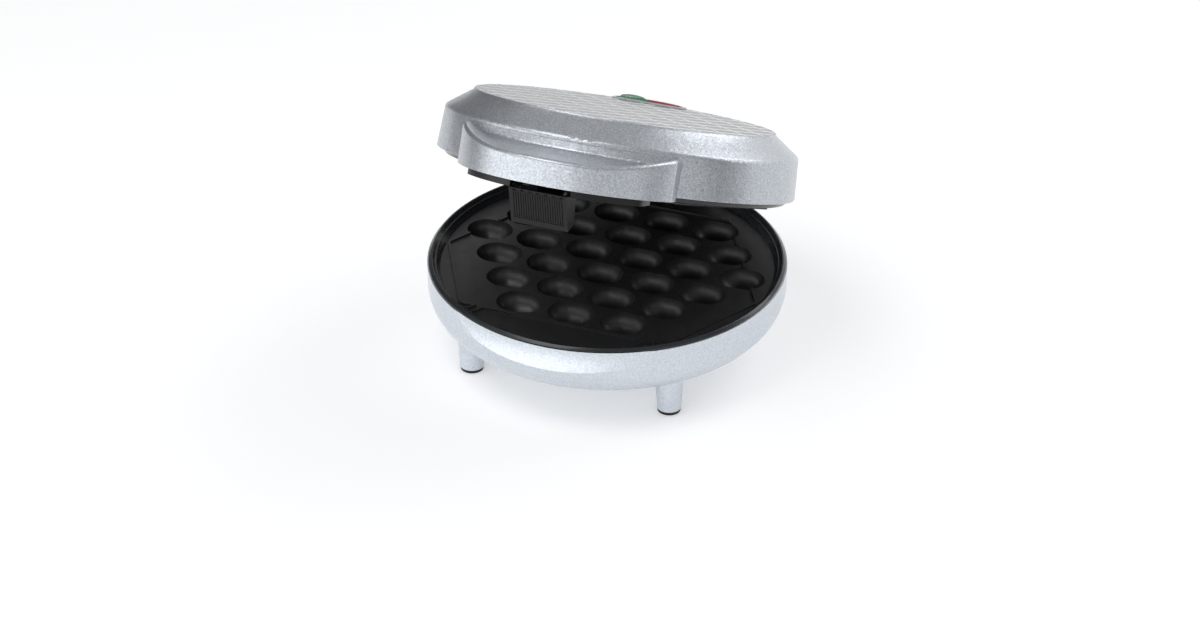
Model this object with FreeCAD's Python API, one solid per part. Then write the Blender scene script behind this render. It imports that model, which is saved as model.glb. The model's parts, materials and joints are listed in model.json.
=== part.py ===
import FreeCAD, Part
import math
import os

# Electric egg waffle pan: a round hinged appliance with two non-stick plates of oval cups.
# Millimetres. +Z is up, -Y is the front with the handle and +X is the right-hand side
# seen from the front. Everything is drawn round the centre line of the base, on the ground.
# The lid is drawn closed and turned open about the hinge pin at the end, and the whole is
# set back so that the origin is the bottom centre of the opened appliance's box.

# Overall sizes
rim_radius = 110.0
rim_height = 56.75
wall = 2.2
lid_open_angle = 24.93
box_setback = 8.2
overrun = 5.0
touch_gap = 0.3
slip_gap = 0.05

# Base bowl
bowl_floor_height = 14.0
bowl_floor_inset = 26.6
bowl_slope_angle = 33.69
bowl_floor_bend = 31.0
bowl_wall_bend = 22.0

# Finger scoop in the front of the bowl
scoop_half_angle = 35.3
scoop_drop = 15.0
scoop_inset = 4.2
scoop_fullness_share = 0.9
scoop_level_shares = (-0.20, 0.0, 0.25, 0.5, 0.75, 1.0, 1.2)

# Feet
foot_circle_inset = 19.8
foot_angles = (45.0, 135.0, 225.0, 315.0)
foot_top_radius = 9.1
foot_post_top_height = 34.0
foot_bottom_radius = 7.4
foot_tip_height = 2.4
foot_tip_radius = 7.0
foot_spigot_radius = 3.0
foot_spigot_length = 7.0
foot_bore_extra = 2.0

# Hinge
hinge_reach = 10.7
hinge_drop = 3.45
hinge_pin_radius = 2.5
hinge_pin_clearance = 0.03
hinge_barrel_clearance = 0.07
ear_radius = 8.0
ear_inner_x = 30.0
ear_width = 9.0
ear_web_top_drop = 0.6
barrel_radius = 7.5
barrel_end_gap = 0.4
barrel_web_clearance = 0.5
barrel_web_height = 19.0
pin_end_length = 1.2
pin_head_radius = 3.6

# Black ring on the base rim
ring_outer_inset = 0.7
ring_rise = 2.4
ring_edge_height = 1.0
ring_land_outer_inset = 2.3
ring_land_inner_inset = 3.2
ring_floor_inset = 7.8
ring_floor_drop = 4.2
ring_skirt_inset = 5.6
ring_rounding = 0.5
catch_slot_half_angle = 31.0
catch_slot_inset = 1.1
catch_slot_low = 0.35
catch_slot_high = 0.72
ring_seat_gap = 0.15

# Cooking plates, both the same casting
plate_inset = 7.4
plate_thickness = 3.0
cup_rows = (3, 4, 5, 6, 5, 4)
cup_pitch = 33.0
cup_row_pitch = 24.4
cup_radius = 11.6
cup_half_length = 2.8
cup_wall = 2.6
pool_front_half_width = 54.0
pool_side_inset = 9.0
pool_back_half_width = 66.0
pool_front_y = -76.6
pool_side_y = 12.2
pool_back_y = 76.6
pool_rib_width = 1.5
pool_rib_height = 1.2
pool_corner_radius = 5.0
spout_length = 5.5
spout_spacing = 5.0
spout_rib_width = 1.2
spout_angle = 32.0
channel_radius = 73.0
channel_half_width = 4.6
channel_depth = 16.2
boss_radius = 5.0
boss_length = 19.05
boss_places_shares = ((1.0, 2.168), (-1.0, 2.168), (1.0, -1.832), (-1.0, -1.832))
boss_bore_depth = 12.0

# Heating elements
element_radius = 3.3
element_gap_half_angle = 14.0
element_seat_gap = 0.2
cold_end_radius = 2.0
cold_end_length = 9.0
cold_end_hole_gap = 1.5

# Heat shields
shield_radius = 86.0
shield_thickness = 0.8
shield_edge_height = 4.0

# Screws
screw_radius = 2.0
screw_head_radius = 3.7
screw_head_height = 2.4
screw_slot_width = 1.0
screw_slot_depth = 1.0
screw_clearance = 0.3
post_radius = 5.2
screw_recess_depth = 6.0
shield_screw_length = 8.0

# Base fittings
thermostat_x = 0.0
thermostat_body_radius = 9.0
thermostat_flange_radius = 11.5
thermostat_flange_height = 0.9
thermostat_depth = 4.0
thermostat_tab_width = 6.3
thermostat_tab_thickness = 0.8
thermostat_tab_length = 4.0
thermostat_tab_offset = 4.5
bracket_half_length = 18.0
bracket_half_width = 13.0
bracket_thickness = 0.8
terminal_half_width = 14.0
terminal_front_y = 53.0
terminal_depth = 14.0
terminal_height = 11.0
terminal_way_pitch = 8.5
terminal_way_radius = 1.9
terminal_screw_radius = 1.8
terminal_screw_head = 0.8
earth_x = -24.0
earth_y = -16.0
earth_tag_radius = 4.2
earth_tag_tail = 12.0
earth_tag_thickness = 0.8
wire_radius = 1.2
wire_bend = 3.0
wire_bend_room_share = 0.49
wire_floor_lift = 3.5
wire_cross_rise = 4.0
gland_radius = 5.2
gland_bore_radius = 3.7
gland_flange_radius = 7.2
gland_flange_thickness = 2.0
gland_tail = 12.0
gland_tail_radius = 4.6
gland_drop = 20.75
gland_boss_radius = 8.6
gland_boss_inset = 9.0
gland_boss_proud = 0.5
vent_rows = 3
vent_row_pitch = 9.0
vent_slots = 5
vent_slot_pitch = 9.0
vent_slot_length = 6.5
vent_slot_width = 2.2

# Lid shell
skirt_lift = 2.8
skirt_bottom_inset = 0.5
shoulder_inset = 2.1
shoulder_lift = 27.9
shoulder_bend = 3.2
disc_inset = 18.1
disc_lift = 40.5
disc_step = 1.7
disc_step_run = 0.9
lid_ledge_lift = 9.0
lid_ledge_height = 2.0
lid_ledge_width = 2.2
lattice_angle = 53.0
lattice_pitch = 16.5
lattice_ridge_width = 1.3
lattice_ridge_top_width = 0.7
lattice_ridge_height = 0.7
lattice_edge_gap = 0.6
lid_post_front_inset = 23.0
lid_post_back_inset = 22.0
lid_post_x = 35.0
lid_post_radius = 4.5
lid_screw_radius = 1.7
lid_screw_head_radius = 3.4
lid_screw_head_height = 1.5
lid_screw_length = 14.0

# Lid ring and upper plate
upper_plate_lift = -0.6
lid_ring_lift = -0.4
lid_ring_gap = 0.75
lid_ring_collar_inset = 3.4
lid_ring_collar_thickness = 1.8
lid_ring_flange_height = 1.8
lid_ring_flange_inset = 10.5
lid_ring_plate_gap = 0.3

# Handle
handle_half_width = 66.2
handle_end_inset = 14.0
handle_root_inset = 40.0
handle_reach = 30.0
handle_end_bend = 6.0
handle_bottom_lift = 0.8
handle_root_lift = 26.5
handle_front_lift = 16.75
handle_flat_half_width = 22.0
handle_front_bend = 110.0
handle_step_top_lift = 25.4
handle_step_foot_lift = 20.6
handle_step_width = 1.2
handle_dish_lift = 17.2
handle_dish_reach = 12.0
handle_dish_outer_lift = 16.0
handle_dish_outer_reach = 24.0
handle_dish_bend = 12.0
handle_step_bend = 2.0
handle_edge_bend = 2.4
underplate_inset = 2.5
underplate_drop = 4.0
underplate_ring_gap = 1.0
underplate_half_width = 53.8
underplate_thickness = 2.4
underplate_end_bend = 9.0
underplate_post_x = 38.0
underplate_post_reach = 3.0
underplate_post_radius = 3.6
underplate_screw_radius = 1.5
underplate_screw_length = 9.0

# Latch clip
latch_half_width = 17.8
latch_bottom_half_width = 17.2
latch_slot_gap = 0.6
latch_slot_back_reach = 3.4
latch_pivot_reach = 17.5
latch_pivot_lift = 3.75
latch_barrel_radius = 3.0
latch_pin_radius = 1.2
latch_pin_clearance = 0.05
latch_lug_width = 3.0
latch_lug_radius = 4.0
latch_top_front_reach = 28.2
latch_top_drop = 3.05
latch_bottom_front_reach = 15.4
latch_bottom_drop = 23.85
latch_bottom_back_reach = 7.4
latch_bottom_back_drop = 19.85
latch_back_reach = 11.5
latch_back_drop = 4.5
latch_shelf_reach = 22.5
latch_shelf_drop = 2.15
latch_shelf_rise = 1.5
latch_plate = 2.4
latch_side = 2.0
latch_rib_count = 21
latch_rib_height = 0.5
latch_rib_width = 0.6
latch_frame = 1.8
hook_half_width = 8.0
hook_catch_depth = 1.3
hook_seat_gap = 0.5
hook_height = 2.6
hook_arm = 2.8
hook_ring_gap = 0.8
hook_way_gap = 0.8
hook_way_lift = 0.6

# Indicator window on the lid
window_inset = 30.0
window_turn = 7.5
bezel_half_length = 23.5
bezel_half_width = 4.8
bezel_height = 1.3
bezel_wall = 1.6
lens_split_gap = 0.2
lens_height = 4.0
lens_flange_depth = 1.2
lens_dome_bend = 1.5
holder_height = 8.0
holder_wall = 1.2
lamp_radius = 2.0
lamp_length = 12.0

# Fuse in the lid
fuse_radius = 2.2
fuse_length = 16.0
fuse_y = -30.0

# Places that follow the rim
bowl_floor_radius = rim_radius - bowl_floor_inset
foot_circle_radius = rim_radius - foot_circle_inset
hinge_y = rim_radius + hinge_reach
ring_outer_radius = rim_radius - ring_outer_inset
ring_land_outer_radius = rim_radius - ring_land_outer_inset
ring_land_inner_radius = rim_radius - ring_land_inner_inset
ring_floor_radius = rim_radius - ring_floor_inset
ring_skirt_radius = rim_radius - ring_skirt_inset
plate_radius = rim_radius - plate_inset
gland_boss_inner_y = rim_radius - gland_boss_inset
skirt_bottom_radius = rim_radius - skirt_bottom_inset
shoulder_radius = rim_radius - shoulder_inset
disc_radius = rim_radius - disc_inset
lid_ring_collar_radius = rim_radius - lid_ring_collar_inset
lid_ring_flange_radius = rim_radius - lid_ring_flange_inset
handle_dish_radius = rim_radius + handle_dish_reach
handle_dish_outer_radius = rim_radius + handle_dish_outer_reach
window_radius = rim_radius - window_inset
handle_end_y = -(rim_radius - handle_end_inset)
handle_root_y = -(rim_radius - handle_root_inset)
underplate_post_y = -(rim_radius + underplate_post_reach)
latch_slot_back_y = -(rim_radius + latch_slot_back_reach)
latch_pivot_y = -(rim_radius + latch_pivot_reach)
latch_top_front_y = -(rim_radius + latch_top_front_reach)
latch_bottom_front_y = -(rim_radius + latch_bottom_front_reach)
latch_bottom_back_y = -(rim_radius + latch_bottom_back_reach)
latch_back_y = -(rim_radius + latch_back_reach)
latch_shelf_y = -(rim_radius + latch_shelf_reach)
lid_post_front_y = -(rim_radius - lid_post_front_inset)
lid_post_back_y = rim_radius - lid_post_back_inset
pool_side_half_width = rim_radius - pool_side_inset
hinge_z = rim_height - hinge_drop

V = FreeCAD.Vector
up = V(0, 0, 1)

ring_floor_height = rim_height - ring_floor_drop
dome_radius = cup_radius + cup_wall
upper_face_height = rim_height + upper_plate_lift
shield_height = ring_floor_height - plate_thickness - boss_length - shield_thickness
handle_front_y = -(skirt_bottom_radius + handle_reach)


def radians(angle):
    return math.radians(angle)


def outline(corners):
    """Closed face in the XZ plane from (radius, height, bend) corners, each bend a tangent arc."""
    edges = []
    ends = []
    count = len(corners)
    for i in range(count):
        before = V(corners[i - 1][0], 0, corners[i - 1][1])
        here = V(corners[i][0], 0, corners[i][1])
        after = V(corners[(i + 1) % count][0], 0, corners[(i + 1) % count][1])
        bend = corners[i][2]
        if not bend:
            ends.append((here, here))
            continue
        back = (before - here).normalize()
        ahead = (after - here).normalize()
        half = back.getAngle(ahead) / 2
        reach = bend / math.tan(half)
        middle = (back + ahead).normalize() * (bend / math.sin(half) - bend)
        start = here + back * reach
        end = here + ahead * reach
        edges.append(Part.Arc(start, here + middle, end).toShape())
        ends.append((start, end))
    for i in range(count):
        a = ends[i - 1][1]
        b = ends[i][0]
        if a.distanceToPoint(b) > slip_gap * slip_gap:
            edges.append(Part.LineSegment(a, b).toShape())
    return Part.Face(Part.Wire(Part.__sortEdges__(edges)))


def turned(corners, sweep=360.0, start=0.0):
    """Solid of revolution about +Z; start is measured from +X."""
    body = outline(corners).revolve(V(0, 0, 0), up, sweep)
    body.rotate(V(0, 0, 0), up, start)
    return body


def block(x0, x1, y0, y1, z0, z1):
    return Part.makeBox(x1 - x0, y1 - y0, z1 - z0, V(x0, y0, z0))


def rod(radius, z0, z1, x=0.0, y=0.0):
    return Part.makeCylinder(radius, z1 - z0, V(x, y, z0), up)


def cross_rod(radius, x0, x1, y, z):
    return Part.makeCylinder(radius, x1 - x0, V(x0, y, z), V(1, 0, 0))


def side_prism(points, x0, x1):
    """Polygon of (y, z) points, extruded along X."""
    corners = [V(x0, y, z) for y, z in points]
    face = Part.Face(Part.makePolygon(corners + corners[:1]))
    return face.extrude(V(x1 - x0, 0, 0))


def fused(shapes):
    body = shapes[0]
    if len(shapes) > 1:
        body = body.multiFuse(shapes[1:])
    return body.removeSplitter()


def lead(points, radius):
    """Insulated wire: straight runs joined by round bends."""
    pieces = []
    start = V(*points[0])
    last = len(points) - 1
    for i in range(1, last):
        here = V(*points[i])
        back = V(*points[i - 1]) - here
        ahead = V(*points[i + 1]) - here
        room_back = back.Length * (1 if i == 1 else wire_bend_room_share)
        room_ahead = ahead.Length * (1 if i == last - 1 else wire_bend_room_share)
        half = back.getAngle(ahead) / 2
        back.normalize()
        ahead.normalize()
        reach = min(wire_bend / math.tan(half), room_back - slip_gap, room_ahead - slip_gap)
        bend = reach * math.tan(half)
        centre = here + (back + ahead).normalize() * (bend / math.sin(half))
        bend_start = here + back * reach
        pieces.append(Part.makeCylinder(radius, (bend_start - start).Length, start, bend_start - start))
        section = Part.Face(Part.Wire(Part.makeCircle(radius, bend_start, back)))
        turn = 180.0 - math.degrees(half) * 2
        pieces.append(section.revolve(centre, ahead.cross(back), turn))
        start = here + ahead * reach
    end = V(*points[last])
    pieces.append(Part.makeCylinder(radius, (end - start).Length, start, end - start))
    return fused(pieces)


def capsule(radius, half_length, x, y, z):
    """Oval cup form: two balls joined by a round bar along X."""
    pieces = [cross_rod(radius, x - half_length, x + half_length, y, z)]
    for side in (-1, 1):
        pieces.append(Part.makeSphere(radius, V(x + side * half_length, y, z)))
    return fused(pieces)


def cup_places():
    places = []
    middle_row = (len(cup_rows) - 1) / 2
    for row, count in enumerate(cup_rows):
        for i in range(count):
            x = (i - (count - 1) / 2) * cup_pitch
            places.append((x, (row - middle_row) * cup_row_pitch))
    return places


def boss_places():
    return [(sx * cup_pitch, sy * cup_row_pitch) for sx, sy in boss_places_shares]


def flipped(shape, cooking_height, place_height):
    """Copy of a plate-side piece, mirrored from the lower plate's face to the upper plate's."""
    other = shape.mirror(V(0, 0, (cooking_height + place_height) / 2), up)
    return other


# Base shell
def bowl_corners(inset, top):
    slope = radians(bowl_slope_angle)
    belly = bowl_floor_height + (rim_radius - bowl_floor_radius) * math.tan(slope)
    floor_corner = bowl_floor_radius - inset * math.tan(slope / 2)
    wall_corner = belly + inset * math.tan((math.pi / 2 - slope) / 2)
    return [
        (0.0, bowl_floor_height + inset, 0.0),
        (floor_corner, bowl_floor_height + inset, bowl_floor_bend - inset),
        (rim_radius - inset, wall_corner, bowl_wall_bend - inset),
        (rim_radius - inset, top, 0.0),
        (0.0, top, 0.0),
    ]


def scoop_outside(inset):
    """Everything in front of the scoop's curved face, inset for the inner side of the wall."""
    half_chord = rim_radius * math.sin(radians(scoop_half_angle))
    chord_y = rim_radius * math.cos(radians(scoop_half_angle))
    rise = rim_radius - scoop_inset - chord_y
    face_radius = (half_chord ** 2 + rise ** 2) / (2 * rise)
    rim_centre = face_radius - (rim_radius - scoop_inset)
    rings = []
    for level in scoop_level_shares:
        height = rim_height - scoop_drop * (1 - level)
        depth_share = level * (1 + scoop_fullness_share - scoop_fullness_share * level)
        centre = V(0, rim_centre - scoop_inset * (1 - depth_share), height)
        rings.append(Part.Wire(Part.makeCircle(face_radius - inset, centre, up)))
    keep = Part.makeLoft(rings, True, False)
    low = rim_height - scoop_drop * (1 - scoop_level_shares[0])
    high = rim_height + scoop_drop * (scoop_level_shares[-1] - 1)
    front = block(-half_chord - overrun, half_chord + overrun, -rim_radius - overrun, 0.0, low, high)
    return front.cut(keep)


def foot_places():
    places = []
    for angle in foot_angles:
        a = radians(angle)
        places.append((foot_circle_radius * math.cos(a), foot_circle_radius * math.sin(a)))
    return places


def make_base_shell():
    outer = turned(bowl_corners(0.0, rim_height)).cut(scoop_outside(0.0))
    solids = [outer]
    for x, y in foot_places():
        post = Part.makeCone(foot_bottom_radius, foot_top_radius,
                             foot_post_top_height - foot_tip_height, V(x, y, foot_tip_height), up)
        solids.append(post)
    ear_top = rim_height - ear_web_top_drop
    for side in (-1, 1):
        x0 = min(side * ear_inner_x, side * (ear_inner_x + ear_width))
        ear = cross_rod(ear_radius, x0, x0 + ear_width, hinge_y, hinge_z)
        web = block(x0, x0 + ear_width, hinge_y - ear_radius * 2, hinge_y, hinge_z - ear_radius, ear_top)
        solids.append(ear.fuse(web))
    body = fused(solids)
    cavity = turned(bowl_corners(wall, rim_height + overrun)).cut(scoop_outside(wall))
    body = body.cut(cavity)
    posts = []
    for x, y in boss_places():
        posts.append(rod(post_radius, bowl_floor_height, shield_height, x, y))
    gland_height = rim_height - gland_drop
    posts.append(Part.makeCylinder(gland_boss_radius, rim_radius + gland_boss_proud - gland_boss_inner_y,
                                   V(0, gland_boss_inner_y, gland_height), V(0, 1, 0)))
    body = fused([body] + posts)
    cutters = []
    for x, y in boss_places():
        cutters.append(rod(screw_head_radius + screw_clearance, bowl_floor_height - overrun,
                           bowl_floor_height + screw_recess_depth, x, y))
        cutters.append(rod(screw_radius + screw_clearance, bowl_floor_height, shield_height + overrun, x, y))
    for x, y in foot_places():
        cutters.append(rod(foot_spigot_radius + slip_gap, 0.0,
                           foot_tip_height + foot_spigot_length + foot_bore_extra, x, y))
    cutters.append(cross_rod(hinge_pin_radius + hinge_pin_clearance, -ear_inner_x - ear_width - overrun,
                             ear_inner_x + ear_width + overrun, hinge_y, hinge_z))
    cutters.append(Part.makeCylinder(gland_radius + slip_gap, rim_radius + overrun - shield_radius,
                                     V(0, shield_radius, gland_height), V(0, 1, 0)))
    for row in range(vent_rows):
        y = (row - (vent_rows - 1) / 2) * vent_row_pitch
        for i in range(vent_slots):
            x = (i - (vent_slots - 1) / 2) * vent_slot_pitch
            cutters.append(block(x - vent_slot_length / 2, x + vent_slot_length / 2, y - vent_slot_width / 2,
                                 y + vent_slot_width / 2, bowl_floor_height - overrun,
                                 bowl_floor_height + wall + overrun))
    seat = ring_floor_height - ring_seat_gap
    cutters.append(rod(ring_skirt_radius + touch_gap, seat, rim_height + overrun))
    for cutter in cutters:
        body = body.cut(cutter)
    return body


def make_foot_tips():
    tips = []
    for x, y in foot_places():
        tip = rod(foot_tip_radius, 0.0, foot_tip_height, x, y)
        edge = foot_tip_height / 4
        rim = [e for e in tip.Edges if abs(e.BoundBox.ZMax) < slip_gap and e.Closed]
        tip = tip.makeFillet(edge, rim)
        spigot_top = foot_tip_height + foot_spigot_length
        spigot = rod(foot_spigot_radius, foot_tip_height - slip_gap, spigot_top, x, y)
        tips.append(fused([tip, spigot]))
    return tips


def make_base_ring():
    top = rim_height + ring_rise
    ring = turned([
        (ring_floor_radius, ring_floor_height, 0.0),
        (ring_skirt_radius, ring_floor_height, 0.0),
        (ring_skirt_radius, rim_height, 0.0),
        (ring_outer_radius, rim_height, 0.0),
        (ring_outer_radius, rim_height + ring_edge_height, ring_rounding),
        (ring_land_outer_radius, top, ring_rounding),
        (ring_land_inner_radius, top, ring_rounding / 2),
    ])
    slot_angle = 2 * catch_slot_half_angle
    slot = turned([
        (ring_outer_radius - catch_slot_inset, rim_height + catch_slot_low, 0.0),
        (ring_outer_radius + overrun, rim_height + catch_slot_low, 0.0),
        (ring_outer_radius + overrun, rim_height + catch_slot_high, 0.0),
        (ring_outer_radius - catch_slot_inset, rim_height + catch_slot_high, 0.0),
    ], slot_angle, -90.0 - slot_angle / 2)
    return ring.cut(slot)


# Cooking plates
def pool_outline(inset):
    """Hexagon of the batter pool as a face, its corners rounded."""
    points = [
        (-pool_front_half_width, pool_front_y), (pool_front_half_width, pool_front_y),
        (pool_side_half_width, pool_side_y), (pool_back_half_width, pool_back_y),
        (-pool_back_half_width, pool_back_y), (-pool_side_half_width, pool_side_y),
    ]
    flat = outline([(x, y, pool_corner_radius) for x, y in points])
    flat.rotate(V(0, 0, 0), V(1, 0, 0), -90.0)
    flat = flat.mirror(V(0, 0, 0), V(0, 1, 0))
    if inset:
        flat = flat.makeOffset2D(-inset)
    return flat


def pool_rib():
    outer = pool_outline(0.0).extrude(V(0, 0, pool_rib_height))
    inner = pool_outline(pool_rib_width).extrude(V(0, 0, pool_rib_height))
    rib = outer.cut(inner)
    spouts = []
    for side in (-1, 1):
        for shift in (-1, 1):
            x = side * (pool_front_half_width + shift * spout_spacing / 2)
            strip = block(x - spout_rib_width / 2, x + spout_rib_width / 2,
                          pool_front_y - spout_length, pool_front_y + pool_rib_width, 0.0, pool_rib_height)
            strip.rotate(V(side * pool_front_half_width, pool_front_y, 0), up, side * spout_angle)
            spouts.append(strip.cut(inner))
    gate = block(-spout_spacing / 2 + spout_rib_width / 2, spout_spacing / 2 - spout_rib_width / 2,
                 -pool_rib_width * 2, pool_rib_width * 2, 0.0, pool_rib_height)
    rib = fused([rib] + spouts)
    for side in (-1, 1):
        opening = gate.copy()
        opening.rotate(V(0, 0, 0), up, side * spout_angle)
        opening.translate(V(side * pool_front_half_width, pool_front_y, 0))
        rib = rib.cut(opening)
    return rib


def make_lower_plate():
    face = ring_floor_height
    back = face - plate_thickness
    solids = [rod(plate_radius, back, face)]
    keep = block(-plate_radius, plate_radius, -plate_radius, plate_radius,
                 face - dome_radius - overrun, back + plate_thickness / 2)
    for x, y in cup_places():
        solids.append(capsule(dome_radius, cup_half_length, x, y, face).common(keep))
    channel = turned([
        (channel_radius - channel_half_width, face - channel_depth, 0.0),
        (channel_radius + channel_half_width, face - channel_depth, 0.0),
        (channel_radius + channel_half_width, back + plate_thickness / 2, 0.0),
        (channel_radius - channel_half_width, back + plate_thickness / 2, 0.0),
    ])
    solids.append(channel)
    for x, y in boss_places():
        solids.append(rod(boss_radius, back - boss_length, back + plate_thickness / 2, x, y))
    body = solids[0].multiFuse(solids[1:])
    rib = pool_rib()
    rib.translate(V(0, 0, face))
    body = body.fuse(rib)
    for x, y in cup_places():
        body = body.cut(capsule(cup_radius, cup_half_length, x, y, face))
    groove_radius = element_radius + element_seat_gap
    groove = Part.makeTorus(channel_radius, groove_radius, V(0, 0, face - channel_depth), up)
    body = body.cut(groove)
    for x, y in boss_places():
        body = body.cut(rod(screw_radius + slip_gap, back - boss_length - overrun,
                            back - boss_length + boss_bore_depth, x, y))
    return body


def make_upper_plate(lower):
    body = flipped(lower, ring_floor_height, upper_face_height)
    for x, y in lid_post_places():
        body = body.cut(rod(lid_screw_radius + screw_clearance, upper_face_height - overrun,
                            upper_face_height + plate_thickness + overrun, x, y))
        body = body.cut(rod(lid_screw_head_radius + screw_clearance / 2, upper_face_height - overrun,
                            upper_face_height + lid_screw_head_height, x, y))
    return body


# Heating
def make_lower_element():
    height = ring_floor_height - channel_depth
    gap = element_gap_half_angle
    bar = Part.makeTorus(channel_radius, element_radius, V(0, 0, height), up, -180, 180, 360 - 2 * gap)
    bar.rotate(V(0, 0, 0), up, 90 + gap)
    pieces = [bar]
    for side in (-1, 1):
        a = radians(90 + side * gap)
        x = channel_radius * math.cos(a)
        y = channel_radius * math.sin(a)
        pieces.append(Part.makeSphere(element_radius, V(x, y, height)))
        pieces.append(rod(cold_end_radius, height - cold_end_length - element_radius, height, x, y))
    return fused(pieces)


def element_ends():
    places = []
    for side in (-1, 1):
        a = radians(90 - side * element_gap_half_angle)
        places.append((channel_radius * math.cos(a), channel_radius * math.sin(a)))
    return places


def shield_blank():
    top = shield_height + shield_thickness
    shield = turned([
        (0.0, shield_height, 0.0),
        (shield_radius, shield_height, 0.0),
        (shield_radius, top + shield_edge_height, 0.0),
        (shield_radius - shield_thickness, top + shield_edge_height, 0.0),
        (shield_radius - shield_thickness, top, 0.0),
        (0.0, top, 0.0),
    ])
    low = shield_height - overrun
    high = top + overrun
    for x, y in boss_places():
        shield = shield.cut(rod(screw_radius + screw_clearance, low, high, x, y))
    for x, y in element_ends():
        shield = shield.cut(rod(cold_end_radius + cold_end_hole_gap, low, high, x, y))
    return shield


def make_lower_shield():
    shield = shield_blank()
    low = shield_height - overrun
    high = shield_height + shield_thickness + overrun
    shield = shield.cut(rod(thermostat_body_radius + touch_gap, low, high, thermostat_x, thermostat_y()))
    return shield.cut(rod(screw_radius + slip_gap, low, high, earth_x, earth_y))


def pan_screw(x, y, head_base, length, radius=screw_radius, head=screw_head_radius, tall=screw_head_height):
    """Screw pointing up, with its head below head_base."""
    body = fused([rod(radius, head_base - slip_gap, head_base + length, x, y),
                  rod(head, head_base - tall, head_base, x, y)])
    slot = block(x - head, x + head, y - screw_slot_width / 2, y + screw_slot_width / 2,
                 head_base - tall - overrun, head_base - tall + screw_slot_depth)
    return body.cut(slot)


def make_lower_screws():
    base = bowl_floor_height + screw_recess_depth
    length = shield_height + shield_thickness + boss_bore_depth - base - touch_gap
    return [pan_screw(x, y, base, length) for x, y in boss_places()]


def make_shield_screws():
    """Screws that hold a shield on its plate, drawn on the lower side."""
    return [pan_screw(x, y, shield_height, shield_screw_length) for x, y in boss_places()]


# Base fittings
def thermostat_y():
    return -cup_row_pitch / 2


def make_thermostat():
    x = thermostat_x
    y = thermostat_y()
    seat = shield_height + shield_thickness + bracket_thickness
    crown = ring_floor_height - dome_radius - touch_gap
    body = [rod(thermostat_body_radius, shield_height - thermostat_depth, crown, x, y),
            rod(thermostat_flange_radius, seat, seat + thermostat_flange_height, x, y)]
    for side in (-1, 1):
        tx = x + side * thermostat_tab_offset
        low = shield_height - thermostat_depth
        body.append(block(tx - thermostat_tab_thickness / 2, tx + thermostat_tab_thickness / 2,
                          y - thermostat_tab_width / 2, y + thermostat_tab_width / 2,
                          low - thermostat_tab_length, low + slip_gap))
    return fused(body)


def make_thermostat_bracket():
    x = thermostat_x
    y = thermostat_y()
    low = shield_height + shield_thickness
    plate = block(x - bracket_half_length, x + bracket_half_length, y - bracket_half_width,
                  y + bracket_half_width, low, low + bracket_thickness)
    return plate.cut(rod(thermostat_body_radius + touch_gap / 2, low - overrun, low + overrun, x, y))


def floor_top():
    return bowl_floor_height + wall


def terminal_ways():
    return [(i - 1) * terminal_way_pitch for i in range(3)]


def make_terminal_block():
    low = floor_top()
    back = terminal_front_y + terminal_depth
    body = block(-terminal_half_width, terminal_half_width, terminal_front_y, back,
                 low, low + terminal_height)
    middle = low + terminal_height / 2
    for x in terminal_ways():
        body = body.cut(Part.makeCylinder(terminal_way_radius, terminal_depth + 2 * overrun,
                                          V(x, terminal_front_y - overrun, middle), V(0, 1, 0)))
        body = body.cut(rod(terminal_screw_radius + slip_gap, middle, low + terminal_height + overrun, x,
                            terminal_front_y + terminal_depth / 2))
    return body


def make_terminal_screws():
    low = floor_top()
    middle = low + terminal_height / 2
    y = terminal_front_y + terminal_depth / 2
    screws = []
    for x in terminal_ways():
        screw = rod(terminal_screw_radius, middle + terminal_way_radius,
                    low + terminal_height + terminal_screw_head, x, y)
        slot = block(x - terminal_screw_radius, x + terminal_screw_radius, y - screw_slot_width / 2,
                     y + screw_slot_width / 2, low + terminal_height, low + terminal_height + overrun)
        screws.append(screw.cut(slot))
    return screws


def make_earth_tag():
    low = shield_height - earth_tag_thickness
    ring = rod(earth_tag_radius, low, shield_height, earth_x, earth_y)
    tail = block(earth_x - earth_tag_radius / 2, earth_x + earth_tag_radius / 2, earth_y,
                 earth_y + earth_tag_tail, low, shield_height)
    hole = rod(screw_radius + slip_gap, low - overrun, low + overrun, earth_x, earth_y)
    return fused([ring, tail]).cut(hole)


def make_earth_screw():
    return pan_screw(earth_x, earth_y, shield_height - earth_tag_thickness, shield_thickness * 3)


def make_base_wiring():
    lift = floor_top() + wire_floor_lift
    end_low = ring_floor_height - channel_depth - cold_end_length - element_radius
    left, right = element_ends()
    back = terminal_front_y + terminal_depth
    middle = floor_top() + terminal_height / 2
    tab_low = shield_height - thermostat_depth - thermostat_tab_length
    ways = terminal_ways()
    clear = back + wire_radius * 4
    inside = terminal_way_radius * 2
    wires = []
    for (x, y), way in ((left, ways[0]), (right, ways[2])):
        side = 1 if x > 0 else -1
        wires.append(lead([(x, y, end_low - touch_gap), (x, y, middle),
                           (side * abs(way), clear, middle), (side * abs(way), back - inside, middle)],
                          wire_radius))
    front = terminal_front_y
    for side, way in ((-1, ways[0]), (1, ways[2])):
        tab_x = thermostat_x + side * thermostat_tab_offset
        bottom = tab_low - touch_gap
        wires.append(lead([(way, front + inside, middle), (way, front - inside * 2, middle),
                           (tab_x, thermostat_y() + inside, lift),
                           (tab_x, thermostat_y(), lift), (tab_x, thermostat_y(), bottom)], wire_radius))
    tag_end = earth_y + earth_tag_tail
    tag_low = shield_height - earth_tag_thickness - wire_radius - touch_gap / 2
    over = middle + wire_cross_rise
    wires.append(lead([(ways[1], front + inside, middle), (ways[1], front - wire_radius * 2, middle),
                       (ways[1] - inside, front - inside * 3, over),
                       (earth_x / 2, front - inside * 5, over), (earth_x, tag_end, tag_low),
                       (earth_x, tag_end - earth_tag_radius, tag_low)], wire_radius))
    return wires


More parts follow.
